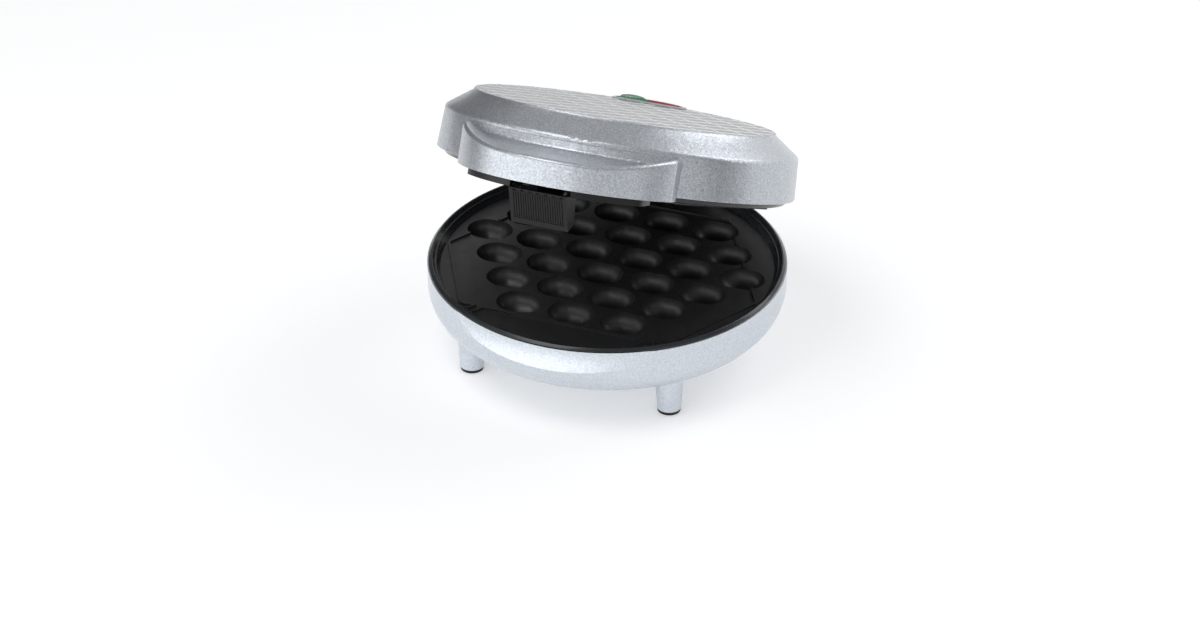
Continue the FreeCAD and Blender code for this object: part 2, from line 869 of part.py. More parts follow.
def make_cord_gland():
    height = rim_height - gland_drop
    outer = rim_radius + gland_boss_proud
    axis = V(0, 1, 0)
    pieces = [
        Part.makeCylinder(gland_flange_radius, gland_flange_thickness,
                          V(0, gland_boss_inner_y - gland_flange_thickness, height), axis),
        Part.makeCylinder(gland_radius, outer - gland_boss_inner_y + gland_flange_thickness,
                          V(0, gland_boss_inner_y - gland_flange_thickness, height), axis),
        Part.makeCylinder(gland_flange_radius, gland_flange_thickness, V(0, outer, height), axis),
        Part.makeCone(gland_tail_radius + slip_gap * 8, gland_tail_radius, gland_tail,
                      V(0, outer, height), axis),
    ]
    bore = Part.makeCylinder(gland_bore_radius, rim_radius, V(0, rim_radius / 2, height), axis)
    return fused(pieces).cut(bore)


def make_hinge_pin():
    reach = ear_inner_x + ear_width
    pin = cross_rod(hinge_pin_radius, -reach - pin_end_length, reach + pin_end_length, hinge_y, hinge_z)
    head = cross_rod(pin_head_radius, -reach - pin_end_length, -reach, hinge_y, hinge_z)
    collar = cross_rod(pin_head_radius, reach, reach + pin_end_length, hinge_y, hinge_z)
    return fused([pin, head, collar])


# Lid
def lid_post_places():
    places = []
    for y in (lid_post_front_y, lid_post_back_y):
        for side in (-1, 1):
            places.append((side * lid_post_x, y))
    return places


def lid_outer():
    step_height = rim_height + disc_lift - disc_step
    return turned([
        (0.0, rim_height + skirt_lift, 0.0),
        (skirt_bottom_radius, rim_height + skirt_lift, ring_rounding),
        (shoulder_radius, rim_height + shoulder_lift, shoulder_bend),
        (disc_radius + disc_step_run, step_height, 0.0),
        (disc_radius, rim_height + disc_lift, ring_rounding / 2),
        (0.0, rim_height + disc_lift, 0.0),
    ])


def lid_cavity():
    inner = skirt_bottom_radius - wall
    ledge = rim_height + lid_ledge_lift
    return turned([
        (0.0, rim_height + skirt_lift - overrun, 0.0),
        (inner, rim_height + skirt_lift - overrun, 0.0),
        (inner, ledge, 0.0),
        (inner - lid_ledge_width, ledge, 0.0),
        (inner - lid_ledge_width, ledge + lid_ledge_height, 0.0),
        (shoulder_radius - wall, rim_height + shoulder_lift - wall, shoulder_bend - wall / 2),
        (disc_radius - wall, rim_height + disc_lift - disc_step - wall, 0.0),
        (0.0, rim_height + disc_lift - disc_step - wall, 0.0),
    ])


def handle_plan(inset):
    """Centre and radius of the handle's round front, inset from its outer face."""
    chord = handle_half_width ** 2 + handle_end_y ** 2 - handle_front_y ** 2
    centre = chord / (2 * (handle_end_y - handle_front_y))
    return centre, centre - handle_front_y - inset


def handle_form(inset, low, high):
    """Round front between two straight ends, inset from the handle's outer faces."""
    centre, radius = handle_plan(inset)
    half = handle_half_width - inset
    front = rod(radius, low, high, 0.0, centre)
    front.rotate(V(0, centre, 0), up, 90)
    return front.common(block(-half, half, centre - radius, handle_root_y, low, high))


def handle_front_above(drop):
    """Everything above the handle's front curve, lowered by drop."""
    low = rim_height + handle_front_lift - drop
    top = rim_height + disc_lift
    half = skirt_bottom_radius
    front = handle_front_y - overrun
    sky = block(-half, half, front, 0.0, low, top)
    for side in (-1, 1):
        x = side * handle_flat_half_width
        bend = Part.makeCylinder(handle_front_bend, -front, V(x, front, low + handle_front_bend), V(0, 1, 0))
        x0 = min(x, side * half)
        flank = block(x0, x0 + half - handle_flat_half_width, front, 0.0, low, top)
        sky = sky.cut(flank.cut(bend))
    return sky


def handle_dish(drop, low):
    """Dished ledge behind the front curve, rising in a small step to the lid's skirt."""
    step = skirt_bottom_radius + handle_step_width / 4
    level = rim_height - drop
    return turned([
        (skirt_bottom_radius - wall, low, 0.0),
        (handle_dish_outer_radius, low, 0.0),
        (handle_dish_outer_radius, level + handle_dish_outer_lift, 0.0),
        (handle_dish_radius, level + handle_dish_lift, handle_dish_bend),
        (step + handle_step_width, level + handle_step_foot_lift, handle_step_bend),
        (step, level + handle_step_top_lift, 0.0),
        (skirt_bottom_radius - wall, level + handle_step_top_lift, 0.0),
    ])


def handle_body(inset, low):
    high = rim_height + handle_root_lift
    body = handle_form(inset, low, high)
    if not inset:
        ends = [e for e in body.Edges if e.BoundBox.ZLength > handle_reach / 2
                and e.BoundBox.YMax < handle_root_y - overrun]
        body = body.makeFillet(handle_end_bend, ends)
    body = body.cut(handle_front_above(inset))
    if not inset:
        body = body.makeFillet(handle_edge_bend, handle_top_edges(body, low))
    return body.fuse(handle_dish(inset, low).common(handle_form(inset + handle_edge_bend, low, high)))


def handle_top_edges(body, low):
    """Edges round the front and ends of the handle's top."""
    chosen = []
    for edge in body.Edges:
        box = edge.BoundBox
        on_top = box.ZMin > low + overrun and box.ZLength < handle_front_lift * 3 / 4
        at_root = box.YMin > handle_root_y - slip_gap
        crease = box.XLength < slip_gap and abs(abs(box.XMin) - handle_flat_half_width) < slip_gap
        if on_top and not at_root and not crease:
            chosen.append(edge)
    return chosen


def handle_outer():
    low = rim_height + handle_bottom_lift
    body = handle_body(0.0, low)
    body = body.cut(rod(skirt_bottom_radius - wall / 2, 0.0, rim_height + disc_lift))
    ring_room = rod(ring_outer_radius + underplate_ring_gap, 0.0, rim_height + skirt_lift)
    body = body.cut(ring_room)
    return body.common(block(-rim_radius, rim_radius, -rim_radius * 2, 0.0, 0.0, rim_height + disc_lift))


def handle_hollow():
    low = rim_height + handle_bottom_lift - overrun
    body = handle_body(wall, low)
    return body.cut(rod(skirt_bottom_radius, 0.0, rim_height + disc_lift))


def lattice():
    """Two crossing families of low ridges on the top disc, cut at its edge and at the window."""
    low = rim_height + disc_lift - slip_gap
    high = rim_height + disc_lift + lattice_ridge_height
    half = lattice_ridge_width / 2
    crest = lattice_ridge_top_width / 2
    count = int(disc_radius / lattice_pitch)
    ridges = []
    for angle in (-lattice_angle, lattice_angle):
        for i in range(-count, count + 1):
            offset = i * lattice_pitch
            reach = math.sqrt(disc_radius ** 2 - offset ** 2)
            ridge = side_prism([(offset - half, low), (offset + half, low),
                                (offset + crest, high), (offset - crest, high)], -reach, reach)
            ridge.rotate(V(0, 0, 0), up, angle)
            ridges.append(ridge)
    body = ridges[0].multiFuse(ridges[1:])
    body = body.common(rod(disc_radius - lattice_edge_gap, low - overrun, high + overrun))
    return body.cut(window_place(window_block(bezel_half_length + touch_gap, bezel_half_width + touch_gap,
                                              low - overrun, high + overrun)))


def window_place(shape):
    """Turn a piece drawn at the back of the lid round to the window's place."""
    shape.rotate(V(0, 0, 0), up, window_turn)
    return shape


def window_block(half_length, half_width, low, high):
    return block(-half_length, half_length, window_radius - half_width, window_radius + half_width, low, high)


def hinge_barrel():
    half = ear_inner_x - barrel_end_gap
    barrel = cross_rod(barrel_radius, -half, half, hinge_y, hinge_z)
    low = rim_height + skirt_lift + barrel_web_clearance
    inner = skirt_bottom_radius - wall
    web = side_prism([(inner, low), (hinge_y, low), (hinge_y + barrel_radius / 2, hinge_z),
                      (hinge_y + barrel_radius, hinge_z), (hinge_y + barrel_radius, low),
                      (inner + wall, low + barrel_web_height), (inner, low + barrel_web_height)],
                     -half, half)
    web = web.cut(rod(skirt_bottom_radius - wall / 2, 0.0, rim_height + disc_lift))
    return fused([barrel, web])


def make_lid_shell():
    outer = lid_outer()
    body = fused([outer, handle_outer(), hinge_barrel()])
    body = body.cut(lid_cavity())
    body = body.cut(handle_hollow())
    posts = []
    plate_back = upper_face_height + plate_thickness
    for x, y in lid_post_places():
        posts.append(rod(lid_post_radius, plate_back, rim_height + disc_lift - disc_step - wall / 2, x, y))
    for side in (-1, 1):
        post_top = rim_height + handle_front_lift - wall / 2
        posts.append(rod(underplate_post_radius, underplate_top(), post_top,
                         side * underplate_post_x, underplate_post_y))
    posts = [post.common(outer.fuse(handle_outer())) for post in posts]
    body = body.multiFuse(posts)
    body = body.fuse(lattice())
    for x, y in lid_post_places():
        body = body.cut(rod(lid_screw_radius + slip_gap, plate_back - overrun,
                            plate_back + lid_screw_length, x, y))
    for side in (-1, 1):
        body = body.cut(rod(underplate_screw_radius + slip_gap, underplate_top() - overrun,
                            underplate_top() + underplate_screw_length, side * underplate_post_x,
                            underplate_post_y))
    body = body.cut(cross_rod(hinge_pin_radius + hinge_barrel_clearance, -ear_inner_x, ear_inner_x,
                              hinge_y, hinge_z))
    opening = window_block(bezel_half_length - bezel_wall, bezel_half_width - bezel_wall,
                           rim_height + disc_lift - disc_step - wall - overrun,
                           rim_height + disc_lift + overrun)
    return body.cut(window_place(opening))


def make_lid_ring():
    low = rim_height + lid_ring_lift
    slope = (ring_land_inner_radius - ring_floor_radius) / (ring_floor_drop + ring_rise)
    low_radius = ring_floor_radius + (ring_floor_drop + lid_ring_lift) * slope - lid_ring_gap
    plate_back = upper_face_height + plate_thickness
    flange_top = plate_back + lid_ring_flange_height
    cone_top = rim_height + skirt_lift + wall / 2
    top = rim_height + lid_ledge_lift
    cone_radius = low_radius + (cone_top - low) * slope
    return turned([
        (plate_radius + lid_ring_plate_gap, low, 0.0),
        (low_radius, low, 0.0),
        (min(cone_radius, lid_ring_collar_radius), cone_top, 0.0),
        (lid_ring_collar_radius, cone_top + ring_rounding, 0.0),
        (lid_ring_collar_radius, top, 0.0),
        (lid_ring_collar_radius - lid_ring_collar_thickness, top, 0.0),
        (lid_ring_collar_radius - lid_ring_collar_thickness, flange_top, 0.0),
        (lid_ring_flange_radius, flange_top, 0.0),
        (lid_ring_flange_radius, plate_back, 0.0),
        (plate_radius + lid_ring_plate_gap, plate_back, 0.0),
    ])


def make_lid_screws():
    base = upper_face_height + lid_screw_head_height
    length = plate_thickness - lid_screw_head_height + lid_screw_length - touch_gap
    return [pan_screw(x, y, base, length, lid_screw_radius, lid_screw_head_radius, lid_screw_head_height)
            for x, y in lid_post_places()]


# Underside of the handle
def underplate_top():
    return rim_height + handle_bottom_lift + underplate_thickness


def underplate_form(inset, low, high):
    """Plan of the under-plate inset from its outer faces, with straight ends and a hollow back."""
    centre, radius = handle_plan(underplate_inset + inset)
    half = underplate_half_width - inset
    body = rod(radius, low, high, 0.0, centre).common(block(-half, half, centre - radius, 0.0, low, high))
    return body.cut(rod(ring_outer_radius + underplate_ring_gap + inset, low, high))


def make_underplate():
    low = rim_height + handle_bottom_lift - underplate_drop
    top = underplate_top()
    body = underplate_form(0.0, low, top)
    ends = [e for e in body.Edges if e.BoundBox.ZLength > underplate_drop
            and abs(abs(e.BoundBox.XMin) - underplate_half_width) < touch_gap
            and e.BoundBox.YMax < handle_end_y - overrun]
    body = body.makeFillet(underplate_end_bend, ends)
    body = body.cut(underplate_form(underplate_thickness, low + underplate_thickness, top + overrun))
    pads = []
    for side in (-1, 1):
        pads.append(rod(underplate_post_radius, low, top, side * underplate_post_x, underplate_post_y))
    slot = latch_half_width + latch_slot_gap
    body = body.cut(block(-slot, slot, handle_front_y - overrun, latch_slot_back_y, low - overrun,
                          top + overrun))
    hook_way = hook_half_width + hook_way_gap
    body = body.cut(block(-hook_way, hook_way, latch_slot_back_y - overrun, -ring_outer_radius + overrun,
                          low - overrun, rim_height + hook_way_lift))
    pivot = rim_height + latch_pivot_lift
    for side in (-1, 1):
        x0 = min(side * slot, side * (slot + latch_lug_width))
        lug = cross_rod(latch_lug_radius, x0, x0 + latch_lug_width, latch_pivot_y, pivot)
        web = block(x0, x0 + latch_lug_width, latch_pivot_y - latch_lug_radius,
                    latch_pivot_y + latch_lug_radius, low + underplate_thickness / 2, pivot)
        pads.append(lug.fuse(web))
    body = fused([body] + pads)
    for side in (-1, 1):
        x = side * underplate_post_x
        body = body.cut(rod(underplate_screw_radius + screw_clearance, low - overrun, top + overrun,
                            x, underplate_post_y))
        body = body.cut(rod(underplate_post_radius - slip_gap * 12, low - overrun,
                            low + screw_head_height, x, underplate_post_y))
    reach = slot + latch_lug_width + overrun
    return body.cut(cross_rod(latch_pin_radius + latch_pin_clearance, -reach, reach, latch_pivot_y, pivot))


def make_underplate_screws():
    low = rim_height + handle_bottom_lift - underplate_drop
    base = low + screw_head_height
    length = underplate_top() - base + underplate_screw_length - touch_gap
    head = underplate_post_radius - slip_gap * 14
    screws = []
    for side in (-1, 1):
        screws.append(pan_screw(side * underplate_post_x, underplate_post_y, base, length,
                                underplate_screw_radius, head, screw_head_height - slip_gap))
    return screws


# Latch
def make_latch_clip():
    pivot = rim_height + latch_pivot_lift
    first = V(0, latch_top_front_y, rim_height - latch_top_drop)
    last = V(0, latch_bottom_front_y, rim_height - latch_bottom_drop)
    section = [(first.y, first.z), (last.y, last.z),
               (latch_bottom_back_y, rim_height - latch_bottom_back_drop),
               (latch_back_y, rim_height - latch_back_drop),
               (latch_pivot_y + latch_barrel_radius, pivot), (latch_pivot_y - latch_barrel_radius, pivot),
               (latch_pivot_y - latch_barrel_radius, rim_height + latch_shelf_rise),
               (latch_shelf_y, rim_height - latch_shelf_drop)]
    body = side_prism(section, -latch_half_width, latch_half_width)
    draft = latch_half_width - latch_bottom_half_width
    for side in (-1, 1):
        taper = Part.Face(Part.makePolygon([
            V(side * latch_half_width, handle_front_y, pivot),
            V(side * (latch_half_width + overrun), handle_front_y, pivot),
            V(side * (latch_half_width + overrun), handle_front_y, last.z - overrun),
            V(side * (latch_half_width - draft), handle_front_y, last.z - overrun),
            V(side * latch_half_width, handle_front_y, pivot)]))
        body = body.cut(taper.extrude(V(0, handle_reach, 0)))
    run = last - first
    along = run / run.Length
    inward = V(0, -along.z, along.y)
    hollow = side_prism(section, -latch_half_width + latch_side, latch_half_width - latch_side)
    hollow.translate(inward * latch_plate - along * latch_plate)
    body = body.cut(hollow)
    field_half = latch_bottom_half_width - latch_frame
    pitch = 2 * field_half / latch_rib_count
    grooves = []
    for i in range(latch_rib_count):
        x = -field_half + (i + 1 / 2) * pitch
        half = (pitch - latch_rib_width) / 2
        a = first + along * latch_frame - inward * overrun
        b = first + along * (run.Length - latch_frame * 2) - inward * overrun
        deep = inward * (overrun + latch_rib_height)
        corners = [a, b, b + deep, a + deep]
        grooves.append(side_prism([(c.y, c.z) for c in corners], x - half, x + half))
    body = body.cut(Part.makeCompound(grooves))
    barrel = cross_rod(latch_barrel_radius, -latch_half_width, latch_half_width, latch_pivot_y, pivot)
    body = fused([body, barrel, latch_hook()])
    return body.cut(cross_rod(latch_pin_radius + latch_pin_clearance, -latch_half_width - overrun,
                              latch_half_width + overrun, latch_pivot_y, pivot))


def latch_hook():
    """Arm from the clip's lower edge to the nose that snaps under the catch lip."""
    nose_top = rim_height - hook_seat_gap
    nose_tip = -(ring_outer_radius - hook_catch_depth)
    arm_inner = -(ring_outer_radius + hook_ring_gap)
    foot_y = latch_bottom_back_y
    foot_z = rim_height - latch_bottom_back_drop
    nose = side_prism([
        (nose_tip, nose_top),
        (arm_inner - hook_arm, nose_top),
        (arm_inner - hook_arm - hook_height, nose_top - hook_height),
        (foot_y - hook_arm, foot_z + hook_arm / 2),
        (foot_y, foot_z),
        (arm_inner - hook_arm / 2, nose_top - hook_height * 2),
        (nose_tip - hook_catch_depth, nose_top - hook_height),
    ], -hook_half_width, hook_half_width)
    return nose


def make_latch_pin():
    reach = latch_half_width + latch_slot_gap + latch_lug_width
    return cross_rod(latch_pin_radius, -reach, reach, latch_pivot_y, rim_height + latch_pivot_lift)


# Indicator window
def disc_top():
    return rim_height + disc_lift


def make_bezel():
    low = disc_top() - disc_step - wall + slip_gap
    high = disc_top() + bezel_height
    frame = window_block(bezel_half_length, bezel_half_width, disc_top(), high)
    upright = [e for e in frame.Edges if e.BoundBox.ZLength > bezel_height / 2]
    frame = frame.makeFillet(bezel_wall, upright)
    collar = window_block(bezel_half_length - bezel_wall - slip_gap, bezel_half_width - bezel_wall - slip_gap,
                          low, disc_top() + slip_gap)
    hole = window_block(bezel_half_length - bezel_wall * 1.5, bezel_half_width - bezel_wall * 1.5,
                        low - overrun, high + overrun)
    return window_place(fused([frame, collar]).cut(hole))


def make_lens(side):
    """One half of the window: -1 is the left, green one and +1 the right, red one."""
    half_length = bezel_half_length - bezel_wall * 1.5 - slip_gap
    half_width = bezel_half_width - bezel_wall * 1.5 - slip_gap
    low = disc_top() - disc_step - wall - lens_flange_depth
    high = disc_top() + lens_height
    x_in = side * lens_split_gap / 2
    x_out = side * half_length
    body = block(min(x_in, x_out), max(x_in, x_out), window_radius - half_width,
                 window_radius + half_width, low, high)
    crown = [e for e in body.Edges if e.BoundBox.ZMin > high - slip_gap and
             (e.BoundBox.XLength > slip_gap or abs(e.BoundBox.XMin - x_out) < slip_gap)]
    return window_place(body.makeFillet(lens_dome_bend, crown))


def make_lamp_holder():
    top = disc_top() - disc_step - wall
    half_length = bezel_half_length + holder_wall
    half_width = bezel_half_width + holder_wall
    body = window_block(half_length, half_width, top - holder_height, top)
    room = window_block(half_length - holder_wall, half_width - holder_wall,
                        top - holder_height + holder_wall, top + overrun)
    middle = block(-holder_wall / 2, holder_wall / 2, window_radius - half_width,
                   window_radius + half_width, top - holder_height, top - lens_flange_depth - touch_gap)
    return window_place(fused([body.cut(room), middle]))


def make_lamps():
    top = disc_top() - disc_step - wall
    z = top - holder_height + holder_wall + lamp_radius
    lamps = []
    for side in (-1, 1):
        x = side * bezel_half_length / 2
        lamp = cross_rod(lamp_radius, x - lamp_length / 2, x + lamp_length / 2, window_radius, z)
        tip = Part.makeSphere(lamp_radius, V(x + side * lamp_length / 2, window_radius, z))
        lamps.append(window_place(fused([lamp, tip])))
    return lamps


def make_fuse():
    """Thermal cut-out in its sleeve, lying on the upper heat shield."""
    z = upper_shield_top() + fuse_radius
    half = fuse_length / 2
    return fused([cross_rod(fuse_radius, -half, half, fuse_y, z)])


def upper_shield_top():
    return upper_face_height + plate_thickness + boss_length + shield_thickness


def make_lid_wiring():
    shield_top = upper_shield_top()
    z = shield_top + wire_radius + touch_gap / 2
    fuse_z = shield_top + fuse_radius
    lamp_floor = disc_top() - disc_step - wall - holder_height
    end_top = upper_face_height + channel_depth + cold_end_length + element_radius
    left, right = element_ends()
    half = fuse_length / 2
    high = end_top + touch_gap
    bend_high = high + wire_radius * 2
    run_x = half + cup_pitch / 2
    lamp_x = -window_radius * math.sin(radians(window_turn))
    lamp_y = window_radius * math.cos(radians(window_turn)) - bezel_half_width / 2
    wires = []
    wires.append(lead([(half, fuse_y, fuse_z), (run_x, fuse_y, fuse_z), (run_x, 0.0, z),
                       (right[0], right[1] - cup_row_pitch, z), (right[0], right[1], bend_high),
                       (right[0], right[1], high)], wire_radius))
    far_x = -run_x - cup_pitch / 2
    wires.append(lead([(-half, fuse_y, fuse_z), (far_x, fuse_y, fuse_z), (far_x, cup_row_pitch, z),
                       (far_x, shield_radius * 3 / 4, z), (-run_x, shield_radius + cold_end_length, z),
                       (-run_x, skirt_bottom_radius - cold_end_length, z - cold_end_length)], wire_radius))
    low = lamp_floor - wire_radius - touch_gap
    wires.append(lead([(left[0], left[1], high), (left[0], left[1], bend_high),
                       (left[0], left[1] - cold_end_length, bend_high),
                       (lamp_x, left[1] - cold_end_length / 2, low), (lamp_x, lamp_y, low)], wire_radius))
    return wires


# Assembly
lower_plate = make_lower_plate()
lower_element = make_lower_element()
lower_shield_blank = shield_blank()
shield_screws = make_shield_screws()

base_nodes = {
    "base_shell": make_base_shell(),
    "base_ring": make_base_ring(),
    "lower_cooking_plate": lower_plate,
    "lower_heating_element": lower_element,
    "lower_heat_shield": make_lower_shield(),
    "lower_plate_screws": make_lower_screws(),
    "thermostat": make_thermostat(),
    "thermostat_bracket": make_thermostat_bracket(),
    "terminal_block": make_terminal_block(),
    "terminal_screws": make_terminal_screws(),
    "earth_tag": make_earth_tag(),
    "earth_screw": make_earth_screw(),
    "base_wiring": make_base_wiring(),
    "cord_gland": make_cord_gland(),
    "hinge_pin": make_hinge_pin(),
}
for name, tip in zip(("back_right", "back_left", "front_left", "front_right"), make_foot_tips()):
    base_nodes["foot_tip_" + name] = tip

lid_nodes = {
    "lid_shell": make_lid_shell(),
    "lid_ring": make_lid_ring(),
    "upper_cooking_plate": make_upper_plate(lower_plate),
    "upper_heating_element": flipped(lower_element, ring_floor_height, upper_face_height),
    "upper_heat_shield": flipped(lower_shield_blank, ring_floor_height, upper_face_height),
    "upper_shield_screws": [flipped(s, ring_floor_height, upper_face_height) for s in shield_screws],
    "upper_plate_screws": make_lid_screws(),
    "thermal_fuse": make_fuse(),
    "lid_wiring": make_lid_wiring(),
    "indicator_bezel": make_bezel(),
    "green_lens": make_lens(-1),
    "red_lens": make_lens(1),
    "lamp_holder": make_lamp_holder(),
    "neon_lamps": make_lamps(),
    "handle_underplate": make_underplate(),
    "underplate_screws": make_underplate_screws(),
    "latch_pin": make_latch_pin(),
    "latch_clip": make_latch_clip(),
}

os.makedirs("parts", exist_ok=True)


def write(name, pieces):
    placed = []
    for piece in pieces:
        piece = piece.copy()
        piece.translate(V(0, -box_setback, 0))
        placed.append(piece)
    shape = Part.makeCompound(placed) if len(placed) > 1 else placed[0]
    shape.exportStep("parts/" + name + ".step")


def opened(piece):
    piece = piece.copy()
    piece.rotate(V(0, hinge_y, hinge_z), V(-1, 0, 0), lid_open_angle)
    return piece


for name, piece in base_nodes.items():
    write(name, piece if isinstance(piece, list) else [piece])
for name, piece in lid_nodes.items():
    pieces = piece if isinstance(piece, list) else [piece]
    write(name, [opened(one) for one in pieces])
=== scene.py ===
import json
from math import cos, radians, sin

import bmesh
import bpy
from bpy.props import FloatProperty, FloatVectorProperty, PointerProperty
from bpy.types import Operator, Panel, PropertyGroup
from mathutils import Matrix, Vector


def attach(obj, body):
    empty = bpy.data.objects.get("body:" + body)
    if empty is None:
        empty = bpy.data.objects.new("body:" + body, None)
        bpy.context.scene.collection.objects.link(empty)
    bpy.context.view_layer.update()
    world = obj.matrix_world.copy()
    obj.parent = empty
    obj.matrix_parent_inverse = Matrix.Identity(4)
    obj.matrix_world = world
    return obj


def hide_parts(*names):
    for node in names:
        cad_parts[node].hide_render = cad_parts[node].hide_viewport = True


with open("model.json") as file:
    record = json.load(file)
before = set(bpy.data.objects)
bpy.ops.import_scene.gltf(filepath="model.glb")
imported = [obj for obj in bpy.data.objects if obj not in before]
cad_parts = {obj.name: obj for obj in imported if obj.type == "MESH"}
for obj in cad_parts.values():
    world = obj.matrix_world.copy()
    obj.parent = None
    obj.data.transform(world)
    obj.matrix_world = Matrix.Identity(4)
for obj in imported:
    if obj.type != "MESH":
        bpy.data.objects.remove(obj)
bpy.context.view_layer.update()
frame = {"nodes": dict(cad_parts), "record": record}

bl_info = {
    "name": "Egg Waffle Pan",
    "version": (1, 0, 0),
    "blender": (4, 5, 0),
    "location": "View3D > Sidebar > Waffle Pan",
    "description": "Dresses the egg waffle pan with its paint, castings, latch and lamps",
    "category": "Object",
}

LID_HINGE = next(joint for joint in frame["record"]["behaviour"]["joints"] if joint["name"] == "lid_hinge")

# Places of the built pieces, in metres: the lid is drawn shut and swung open about its hinge
HINGE = Vector(LID_HINGE["pos_m"])
OPENED = radians(-LID_HINGE["range_deg"][0])
SETBACK = Vector((0.0, -0.0082, 0.0))
RIM = 0.05675
DISC_LIFT = 0.0405
DISC_RADIUS = 0.0917
SWING = Matrix.Translation(HINGE) @ Matrix.Rotation(-OPENED, 4, "X") @ Matrix.Translation(-HINGE)
ON_LID = SWING @ Matrix.Translation(SETBACK)
FROM_LID = ON_LID.inverted()

# Front of the latch clip: +X across, +Y up along the plate, +Z out of it, from the middle of its top edge
ACROSS = Vector((1.0, 0.0, 0.0))
LATCH_HALF_WIDTH = 0.0172
LATCH_TOP = Vector((0.0, -0.1382, RIM - 0.00305))
LATCH_FOOT = Vector((0.0, -0.1254, RIM - 0.02385))
LATCH_RUN = (LATCH_FOOT - LATCH_TOP).normalized()
LATCH_FACE = ON_LID @ Matrix.Translation(LATCH_TOP) @ Matrix(
    (ACROSS, -LATCH_RUN, LATCH_RUN.cross(ACROSS))).transposed().to_4x4()

# Window in the lid's top: +X along it, +Z out of the disc
WINDOW_TURN = radians(7.5)
WINDOW_PLACE = (0.0, 0.080, RIM + DISC_LIFT)
WINDOW = ON_LID @ Matrix.Rotation(WINDOW_TURN, 4, "Z") @ Matrix.Translation(WINDOW_PLACE)
LENS_LENGTH = 0.0217
LENS_HALF_WIDTH = 0.0031

# Camera: picture width and aim offset in pixels, sensor width in millimetres, aim height in metres
PICTURE_WIDTH = 1200
SENSOR_WIDTH = 36.0
AIM_OFFSET = (7.2, 48.2)
AIM_HEIGHT = 0.05

# Soft boxes: the setting that holds the watts, place, height of the aim, width and height
SOFT_BOXES = (
    ("key", (-0.42, -0.46, 1.35), 0.08, 0.9, 0.75),
    ("fill", (-1.10, -0.95, 0.38), 0.10, 1.5, 0.75),
    ("front", (-0.15, -1.50, 0.40), 0.10, 1.0, 0.75),
    ("strip", (1.22, 0.44, 0.50), 0.08, 0.12, 0.8),
    ("rear", (0.69, 0.82, 0.90), 0.08, 0.8, 0.8),
)

# Upright dark flags beside the object: name, place, length and height
FLAGS = (
    ("left_flag", (-0.50, 0.30, 0.32), 0.9, 0.55),
    ("right_flag", (0.60, -0.03, 0.26), 0.28, 0.4),
)


def colour_setting(name, value, text):
    return FloatVectorProperty(name=name, description=text, default=value, size=3,
                               subtype="COLOR", min=0.0, max=1.0)


def length_setting(name, value, text):
    return FloatProperty(name=name, description=text, default=value, unit="LENGTH",
                         subtype="DISTANCE", min=0.0, precision=5)


def angle_setting(name, degrees, text):
    return FloatProperty(name=name, description=text, default=radians(degrees), subtype="ANGLE",
                         unit="ROTATION")


def power_setting(name, watts, text):
    return FloatProperty(name=name, description=text, default=watts, unit="POWER", min=0.0)


def level_setting(name, value, text):
    return FloatProperty(name=name, description=text, default=value, min=0.0, max=1.0)


class PanPaint(PropertyGroup):
    lid_silver: colour_setting("Lid Silver", (0.62, 0.638, 0.66), "Metallic paint of the lid")
    lid_shade: colour_setting("Lid Shade", (0.33, 0.365, 0.42), "Darker flakes in the lid's paint")
    bowl_silver: colour_setting("Bowl Silver", (0.74, 0.765, 0.80), "Metallic paint of the bowl")
    bowl_shade: colour_setting("Bowl Shade", (0.54, 0.59, 0.66), "Darker flakes in the bowl's paint")
    field: colour_setting("Disc Field", (0.40, 0.41, 0.42), "Grey field between the lattice ridges")
    ridge: colour_setting("Lattice Ridge", (0.86, 0.86, 0.87), "Bright ridges of the lattice")
    flake: length_setting("Flake", 0.0011, "Size of one flake in the metallic paint")
    edge: length_setting("Shell Edge", 0.0005, "Width of the rounding on the painted shells' edges")


class PanCasting(PropertyGroup):
    coating: colour_setting("Coating", (0.017, 0.017, 0.018), "Non-stick coating of the plates")
    ring: colour_setting("Ring", (0.013, 0.014, 0.016), "Dark plastic of the rim rings")
    edge: length_setting("Casting Edge", 0.0004, "Width of the rounding on plates and lid ring")
    lip: length_setting("Slot Lip", 0.0001, "Width of the rounding on the base ring with its thin slot lip")


class PanTrim(PropertyGroup):
    black: colour_setting("Latch Black", (0.004, 0.004, 0.005), "Satin plastic of latch and under-plate")
    rubber: colour_setting("Rubber", (0.02, 0.02, 0.021), "Rubber of the foot tips and the cord bush")
    green: colour_setting("Green Lens", (0.02, 0.42, 0.16), "Ready lamp's lens")
    glow: colour_setting("Pale Green", (0.55, 0.80, 0.68), "Clear dome on the ready lamp's lens")
    red: colour_setting("Red Lens", (0.62, 0.02, 0.03), "Power lamp's lens")
    bezel: colour_setting("Bezel", (0.45, 0.45, 0.46), "Frame round the two lenses")
    lens_rise: length_setting("Lens Rise", 0.0026, "Height of the lenses over the lid's disc")


